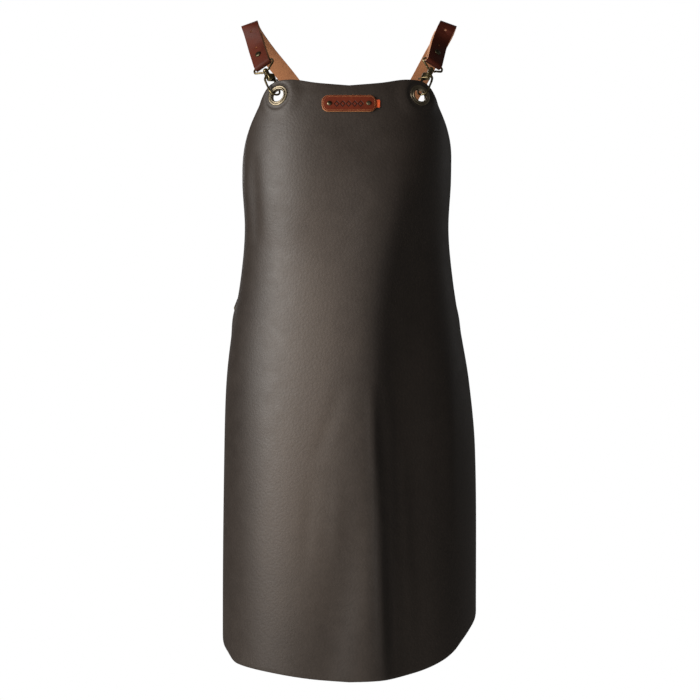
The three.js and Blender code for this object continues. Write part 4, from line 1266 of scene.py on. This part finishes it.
@dataclass
class SwivelSnap:
    """A cast swivel snap: strap loop with barrel, hook that turns in it, sprung gate. Sizes in mm."""

    loop_width: float = 32.0
    loop_drop: float = 13.0
    loop_corner: float = 3.2
    loop_wire: float = 1.5
    barrel: float = 4.0
    bore: float = 2.35
    top: float = -11.0
    bottom: float = -18.6
    reach: float = 58.0
    half: float = 8.2
    wire: float = 1.9
    pivot: Pair = (-6.4, -26.4)
    turns: Dict[Station, float] = field(default_factory=lambda: {
        Station.CHEST_LEFT: -122, Station.CHEST_RIGHT: -58, Station.WAIST_LEFT: -70, Station.WAIST_RIGHT: -110})

    def hangers(self) -> Dict[Station, Matrix]:
        """The frame of each snap's strap bar: X across, Y inwards, Z along the strap.

        Returns:
            The placing of each snap, in metres.
        """
        joints = {j["name"]: j for j in frame["record"]["behaviour"]["joints"]}
        found = {}
        for station in Station:
            bar = joints[f"loop_pivot_{station.value}"]
            across = Vector(bar["axis"]).normalized()
            along = Vector(joints[f"swivel_{station.value}"]["axis"]).normalized()
            inward = along.cross(across)
            at = Vector(bar["pos_m"])
            found[station] = placing(across, inward, along, at)
        return found

    def across_pivot(self, obj: bpy.types.Object, quarter: int) -> bpy.types.Object:
        """Lays a turned piece along the gate's pin, a quarter turn one way or the other."""
        px, pz = self.pivot
        obj.data.transform(Matrix.Translation((px * MM, 0, pz * MM)) @ Matrix.Rotation(quarter * math.pi / 2, 4, "X"))
        return obj

    def loop_pattern(self) -> bpy.types.Object:
        """Bends the strap loop and bores its swivel barrel.

        Returns:
            The loop, its bar at the origin and its barrel below.
        """
        c = self.loop_corner
        x = self.loop_width / 2 - c
        quarter = [math.radians(90 - 11.25 * k) for k in range(9)]
        right = [(x + c * math.cos(a), 0, -c + c * math.sin(a)) for a in quarter]
        lower = [(x + c, -c), (x + c * 0.92, -c - 2.4), (x - 0.6, -c - 4.9), (x - 5.2, -c - 7.4),
                 (6.2, -self.loop_drop + 0.8), (2.5, -self.loop_drop), (0, -self.loop_drop)]
        sweep = [(a, 0, b) for a, b in spline_through(lower, 4)]
        path: List[Tuple[float, float, float]] = right + sweep
        path += [(-a, 0, b) for a, _, b in reversed(sweep[:-1])] + [(-a, 0, b) for a, _, b in reversed(right)]
        ring = wire("snap_loop_pattern", path, self.loop_wire, closed=True)
        b, t, m = self.bottom, self.top, self.barrel
        shell = turned("barrel", [
            (0, b), (m * 0.8, b), (m * 0.94, b + 0.25), (m, b + 0.9), (m, b + 2.0), (m * 0.92, b + 2.5),
            (m * 0.92, t - 2.4), (m, t - 1.9), (m, t - 0.8), (m * 0.93, t - 0.2), (m * 0.8, t), (0, t)], 40)
        combine(ring, shell, "UNION")
        bore = turned("bore", [(0, b - 2), (self.bore, b - 2), (self.bore, t + 4), (0, t + 4)], 32)
        combine(ring, bore, "DIFFERENCE")
        finish_mesh(ring)
        return ring

    def hook_pattern(self) -> bpy.types.Object:
        """Makes the hook: headed post, collar, gate housing and tapered wire.

        Returns:
            The hook about the swivel's axis.
        """
        under, foot = self.top + GAP, self.bottom - GAP
        stem = turned("stem", [
            (0, under + 1.4), (1.6, under + 1.36), (2.6, under + 1.1), (3.1, under + 0.6), (3.2, under + 0.3),
            (3.1, under), (2, under), (2, foot), (4.0, foot), (4.2, foot - 0.3), (4.2, foot - 1.7),
            (3.9, foot - 2.2), (3.0, foot - 3.4), (0, foot - 3.4)], 40)
        cheeks = block("snap_hook_pattern", (-9.6, -3.6, -29.6), (2.2, 3.6, foot - 0.6), 1.15, 4)
        slot = block("slot", (-13.6, -1.9, -33.6), (self.pivot[0] + 3.5, 1.9, -23.4), 0.0)
        combine(cheeks, slot, "DIFFERENCE")
        combine(cheeks, stem, "UNION")
        centre = -(self.reach - self.half)
        knots = [(0.2, -21.9), (2.9, -23.3), (self.half * 0.66, -25.4), (self.half * 0.93, -29.0),
                 (self.half * 1.02, -35), (self.half * 1.01, -42)]
        path = [knots[0], *spline_through(knots + [(self.half, centre)], 5)]
        bend = [math.radians(-180 * k / 28) for k in range(1, 29)]
        arc = [(self.half * math.cos(a), centre + self.half * math.sin(a)) for a in bend]
        tip = [(-self.half, centre + rise) for rise in (0.9, 1.7, 2.2, 2.5, 2.6)]
        full = path + arc + tip
        taper = [1.0 - 0.26 * min(1.0, max(0.0, (i - 4) / 22)) for i in range(len(full) - 4)]
        taper += [0.72, 0.64, 0.5, 0.25]
        rod = wire("rod", [(x, 0, z) for x, z in full], self.wire, taper=taper)
        combine(cheeks, rod, "UNION")
        pin = turned("pin_hole", [(0, -6), (1.2, -6), (1.2, 6), (0, 6)], 24)
        combine(cheeks, self.across_pivot(pin, 1), "DIFFERENCE")
        finish_mesh(cheeks)
        return cheeks

    def gate_pattern(self) -> bpy.types.Object:
        """Makes the sprung gate with its eye and thumb tab.

        Returns:
            The gate, closed, in the hook's place.
        """
        px, pz = self.pivot
        tip = -(self.reach - self.half) + 2.6 + GAP
        outer = -self.half - 1.25
        leaf = block("snap_gate_pattern", (outer, -1.6, tip), (outer + 2.5, 1.6, pz - 2.2), 0.6, 4)
        neck = block("neck", (outer, -1.6, pz - 3.3), (px + 1, 0.2, pz), 0.35)
        tab = block("tab", (outer - 5.6, -1.6, pz - 3.4), (outer + 1, 0.2, pz - 1.2), 0.55, 4)
        eye = turned("eye", [(0, -1.6), (2.1, -1.6), (2.3, -1.4), (2.3, 0.25), (2.1, 0.45), (0, 0.45)], 32)
        for part in (neck, tab, self.across_pivot(eye, -1)):
            combine(leaf, part, "UNION")
        bore = turned("bore", [(0, -6), (1 + GAP, -6), (1 + GAP, 6), (0, 6)], 24)
        combine(leaf, self.across_pivot(bore, 1), "DIFFERENCE")
        finish_mesh(leaf)
        return leaf

    def build(self, hangers: Dict[Station, Matrix]) -> List[Tuple[bpy.types.Object, str, str]]:
        """Hangs a snap at each station.

        Args:
            hangers: the snap frame at each station.

        Returns:
            Each piece with the solid it stands for and the body it moves with.
        """
        loop, hook, gate = self.loop_pattern(), self.hook_pattern(), self.gate_pattern()
        made = []
        for station, hanger in hangers.items():
            word = station.value
            turned_hook = hanger @ Matrix.Rotation(math.radians(self.turns[station]), 4, "Z")
            made.append((copy_of(loop, f"swivel_loop_{word}", hanger), f"snap_loop_{word}", f"loop_{word}"))
            made.append((copy_of(hook, f"swivel_hook_{word}", turned_hook), f"snap_hook_{word}", f"hook_{word}"))
            made.append((copy_of(gate, f"sprung_gate_{word}", turned_hook), f"snap_gate_{word}", f"gate_{word}"))
        drop(loop, hook, gate)
        return made

    @staticmethod
    def dress(pieces: Sequence[Tuple[bpy.types.Object, str, str]], brass: bpy.types.Material,
              gate: bpy.types.Material) -> None:
        """Plates the snaps; the gates are darker than the castings.

        Args:
            pieces: each piece with the solid it stands for and its body.
            brass: the castings' plating.
            gate: the gates' plating.
        """
        for piece, solid, body in pieces:
            piece.data.materials.append(gate if solid.startswith("snap_gate") else brass)
            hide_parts(solid)
            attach(piece, body)


# ---- straps --------------------------------------------------------------------------------------


@dataclass
class CrossStrap:
    """A bridle leather strap with both its ends folded round snap bars."""

    side: str
    round_mm: float = 0.55
    probe_height: float = -0.02
    soft_edge: float = 55.0  # degrees: faces joined by a softer edge are one face of the leather
    scrap: float = 1.05e-4   # m2: a smaller group is part of a cut end
    edge_strip: Pair = (1.6e-3, 4.5e-3)  # m2: the two long cut edges

    def build(self) -> bpy.types.Object:
        """Takes the strap's solid, rounds its edges and tells its faces apart.

        Returns:
            The strap, with grain, flesh and cut faces in material slots 0, 1 and 2.
        """
        source = bpy.data.objects[f"strap_{self.side}"]
        obj = source.copy()
        obj.data = source.data.copy()
        obj.name = obj.data.name = f"bridle_strap_{self.side}"
        bpy.context.scene.collection.objects.link(obj)
        obj.data.materials.clear()
        obj.hide_render = obj.hide_viewport = False
        obj.hide_set(False)
        edit(obj)
        bpy.ops.mesh.remove_doubles(threshold=1e-6)
        bpy.ops.object.mode_set(mode="OBJECT")
        self._label(obj)
        apply_modifier(obj, "BEVEL", width=self.round_mm * MM, segments=3, limit_method="ANGLE",
                       angle_limit=math.radians(50), use_clamp_overlap=True, material=-1)
        pick(obj)
        bpy.ops.object.shade_smooth_by_angle(angle=math.radians(35))
        return obj

    def _label(self, obj: bpy.types.Object) -> None:
        """Floods faces across soft edges and sorts the strips into grain, flesh and cut.

        Args:
            obj: the strap, before its edges are rounded.
        """
        bm = bmesh.new()
        bm.from_mesh(obj.data)
        bm.faces.ensure_lookup_table()
        group = [-1] * len(bm.faces)
        areas: List[float] = []
        for seed in bm.faces:
            if group[seed.index] >= 0:
                continue
            mark, stack, area = len(areas), [seed], 0.0
            group[seed.index] = mark
            while stack:
                face = stack.pop()
                area += face.calc_area()
                for edge in face.edges:
                    if len(edge.link_faces) != 2:
                        continue
                    if edge.calc_face_angle(3.0) > math.radians(self.soft_edge):
                        continue
                    for other in edge.link_faces:
                        if group[other.index] < 0:
                            group[other.index] = mark
                            stack.append(other)
            areas.append(area)
        tree = BVHTree.FromBMesh(bm)
        level = [v.co.x for v in bm.verts if abs(v.co.z - self.probe_height) < 0.008 and v.co.y < -0.005]
        middle = sum(level) / len(level)
        hit = tree.ray_cast(Vector((middle, -1.0, self.probe_height)), Vector((0, 1, 0)))
        grain = group[hit[2]]
        flesh = {g for g, area in enumerate(areas) if g != grain and (
            self.scrap < area < self.edge_strip[0] or area > self.edge_strip[1])}
        for face in bm.faces:
            face.material_index = 0 if group[face.index] == grain else 1 if group[face.index] in flesh else 2
        bm.to_mesh(obj.data)
        bm.free()

    def dress(self, obj: bpy.types.Object, grain: bpy.types.Material, flesh: bpy.types.Material,
              cut: bpy.types.Material) -> None:
        """Finishes the strap's three kinds of face.

        Args:
            obj: the strap.
            grain: outer face.
            flesh: inner face.
            cut: the edges and ends.
        """
        for material in (grain, flesh, cut):
            obj.data.materials.append(material)
        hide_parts(f"strap_{self.side}")
        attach(obj, "apron")


# ---- the studio ----------------------------------------------------------------------------------


@dataclass
class Studio:
    """A white room with a large soft lamp at the left, three weaker ones and the camera."""

    camera_at: Tuple[float, float, float] = (0.0014, -3.315, -0.469)
    field_mm: float = 980.0
    field_from: float = 3200.0
    floor_level: float = -1.5
    floor_radius: float = 2.4
    aim: Tuple[float, float, float] = (0.0, 0.0, -0.45)

    def build(self) -> None:
        """Sets the camera, the lamps, the room and the floor."""
        scene = bpy.context.scene
        camera = bpy.data.cameras.new("studio_camera")
        camera.sensor_width = 36.0
        camera.angle = 2 * math.atan(self.field_mm / 2 / self.field_from)
        rig = bpy.data.objects.new("studio_camera", camera)
        rig.location = self.camera_at
        rig.rotation_euler = (math.pi / 2, 0, 0)
        scene.collection.objects.link(rig)
        scene.camera = rig
        self._lamp("key_lamp", (-56, 14), 2.1, (1.05, 1.5), 67.0, (1.0, 0.965, 0.925))
        self._lamp("fill_lamp", (10, 6), 3.0, (1.6, 1.6), 2.6)
        self._lamp("rim_lamp", (118, 20), 2.4, (0.7, 1.6), 2.0)
        self._lamp("back_lamp", (-165, 25), 2.6, (1.4, 1.4), 22.0)
        world = bpy.data.worlds.new("white_room")
        world.use_nodes = True
        tree = world.node_tree
        tree.nodes.clear()
        seen = node(tree, "ShaderNodeBackground", {"Color": (1, 1, 1, 1), "Strength": 1.0})
        cast = node(tree, "ShaderNodeBackground", {"Color": (1, 0.985, 0.96, 1), "Strength": 0.1})
        ray = node(tree, "ShaderNodeLightPath")
        both = node(tree, "ShaderNodeMixShader", {
            0: ray.outputs["Is Camera Ray"], 1: cast.outputs[0], 2: seen.outputs[0]})
        node(tree, "ShaderNodeOutputWorld", {"Surface": both.outputs[0]})
        scene.world = world
        scene.view_settings.view_transform = "Standard"
        deselect()
        bpy.ops.mesh.primitive_circle_add(vertices=64, radius=self.floor_radius, fill_type="NGON", location=(0, 0, 0))
        floor = take("pale_floor")
        floor.data.transform(Matrix.Translation((0, 0, self.floor_level)))
        material, _, shader = blank("pale_painted_floor")
        shader.inputs["Base Color"].default_value = linear("#e9e7e3")
        shader.inputs["Roughness"].default_value = 0.8
        floor.data.materials.append(material)

    def _lamp(self, name: str, direction: Pair, distance: float, size: Pair, power: float,
              tint: Tuple[float, float, float] = (1.0, 1.0, 1.0)) -> None:
        """Adds a soft lamp aimed at the apron's middle.

        Args:
            name: the lamp's name.
            direction: degrees round from the front, positive to the right, and degrees up.
            distance: from the apron, in metres.
            size: width and height, in metres.
            power: watts.
            tint: the light's colour, linear.
        """
        lamp = bpy.data.lights.new(name, "AREA")
        lamp.shape = "RECTANGLE"
        lamp.size, lamp.size_y = size
        lamp.energy = power
        lamp.color = tint
        obj = bpy.data.objects.new(name, lamp)
        bpy.context.scene.collection.objects.link(obj)
        around, up = (math.radians(a) for a in direction)
        away = Vector((math.sin(around) * math.cos(up), -math.cos(around) * math.cos(up), math.sin(up)))
        obj.location = Vector(self.aim) + away * distance
        obj.rotation_euler = away.to_track_quat("Z", "Y").to_euler()


# ---- finishes ------------------------------------------------------------------------------------


@dataclass
class Finishes:
    """Every finish of the apron."""

    # the apron's face takes painted highlights and painted shade from the panel's attribute
    apron_grain: Hide = Hide("waxed_full_grain_leather", "#241d18", "#322a24", "#4c423a", pebble_mm=3.4,
                             grain_depth_mm=0.1, roughness=(0.48, 0.56), specular=0.42, flat_map="flat",
                             light_and_pull_attribute="pulled_and_painted_light", mottle=0.07, crease=0.16)
    apron_flesh: Hide = Hide("apron_leather_flesh_side", "#3a2a20", "#4d392b", "#6b5240", pebble_mm=1.6, crease_mm=7,
                             grain_depth_mm=0.1, roughness=(0.8, 0.92), specular=0.2, sheen=0.25, flat_map="flat")
    apron_cut: Hide = Hide("apron_leather_cut_edge", "#2c1c12", "#40291a", "#5b3c26", pebble_mm=0.9, crease_mm=4,
                           grain_depth_mm=0.06, roughness=(0.6, 0.75), specular=0.35)
    strap_grain: Hide = Hide("chestnut_bridle_leather", "#381307", "#4c1c0d", "#6a2b16", pebble_mm=1.6, crease_mm=9,
                             grain_depth_mm=0.06, roughness=(0.56, 0.7), specular=0.2)
    strap_flesh: Hide = Hide("bridle_leather_flesh_side", "#7c4a26", "#a9714b", "#c38b5c", pebble_mm=1.1, crease_mm=6,
                             grain_depth_mm=0.08, roughness=(0.75, 0.9), specular=0.25, sheen=0.2)
    strap_cut: Hide = Hide("bridle_leather_cut_edge", "#7a4526", "#b57a4f", "#cf9668", pebble_mm=0.8, crease_mm=4,
                           grain_depth_mm=0.05, roughness=(0.55, 0.7), specular=0.35)
    badge_grain: Hide = Hide("chestnut_badge_leather", "#4a1707", "#68250d", "#883a19", pebble_mm=1.3, crease_mm=8,
                             grain_depth_mm=0.06, roughness=(0.5, 0.62), specular=0.24)
    brass: AgedBrass = AgedBrass("antique_brass_eyelet", dark="#655d4d", body="#7b715f", bright="#958a75",
                                 roughness=(0.34, 0.42), patch_mm=16.0, pitting=0.05)
    snap_brass: AgedBrass = AgedBrass("antique_brass_snap", dark="#2c2518", body="#5a4f38", bright="#978a66",
                                      roughness=(0.32, 0.46), patch_mm=9.0, pitting=0.1)
    gate_brass: AgedBrass = AgedBrass("darkened_brass_gate", dark="#1e1911", body="#3d3526", bright="#6f6448")
    rivet_brass: AgedBrass = AgedBrass("darkened_brass_rivet", dark="#2a2518", body="#4a4534", bright="#8f886e",
                                       roughness=(0.34, 0.5))
    tape: WovenTape = WovenTape("woven_orange_tape")

    def make(self) -> Dict[str, bpy.types.Material]:
        """Builds every material by its field's name."""
        return {name: finish.make() for name, finish in vars(self).items()}


def dress_solids(brass: bpy.types.Material, gate: bpy.types.Material) -> None:
    """Finishes the solids that stay as they are: washers, pins and springs.

    Args:
        brass: the washers' plating.
        gate: the pins' and springs' plating.
    """
    for station in Station:
        for name, material in ((f"eyelet_washer_{station.value}", brass), (f"snap_gate_pin_{station.value}", gate),
                               (f"snap_gate_spring_{station.value}", gate)):
            obj = bpy.data.objects[name]
            obj.data.materials.clear()
            obj.data.materials.append(material)


def main() -> None:
    """Builds the apron's visual model, piece by piece."""
    logging.basicConfig(level=logging.INFO, format="%(name)s: %(message)s")
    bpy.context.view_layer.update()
    paint = Finishes().make()
    form = LeatherForm()

    panel = ApronPanel(form)
    leather = panel.build()
    panel.dress(leather, paint["apron_grain"], paint["apron_flesh"], paint["apron_cut"])
    log.info("%s: %d faces, %.4f m2 flat", leather.name, len(leather.data.polygons), panel.area)

    eyelets = Eyelets(form)
    rings = eyelets.build()
    eyelets.dress(rings, paint["brass"])
    log.info("%d eyelets", len(rings))

    badge = Badge(form)
    patch, tag = badge.build_patch(), badge.build_tag()
    ToolingMark().press(paint["badge_grain"], form.perch(0, badge.z).at * MM)
    badge.dress(patch, tag, paint["badge_grain"], paint["strap_cut"], paint["tape"])
    log.info("%s and %s", patch.name, tag.name)

    snap = SwivelSnap()
    hangers = snap.hangers()
    snaps = snap.build(hangers)
    snap.dress(snaps, paint["snap_brass"], paint["gate_brass"])
    log.info("%d snap pieces", len(snaps))

    fasteners = Fasteners(form)
    studs = fasteners.build(hangers)
    fasteners.dress(studs, paint["rivet_brass"])
    log.info("%d fastener pieces", len(studs))

    for side in ("left", "right"):
        strap = CrossStrap(side)
        made = strap.build()
        strap.dress(made, paint["strap_grain"], paint["strap_flesh"], paint["strap_cut"])
        log.info("%s: %d faces", made.name, len(made.data.polygons))

    dress_solids(paint["brass"], paint["gate_brass"])
    Studio().build()


if __name__ == "__main__":
    main()
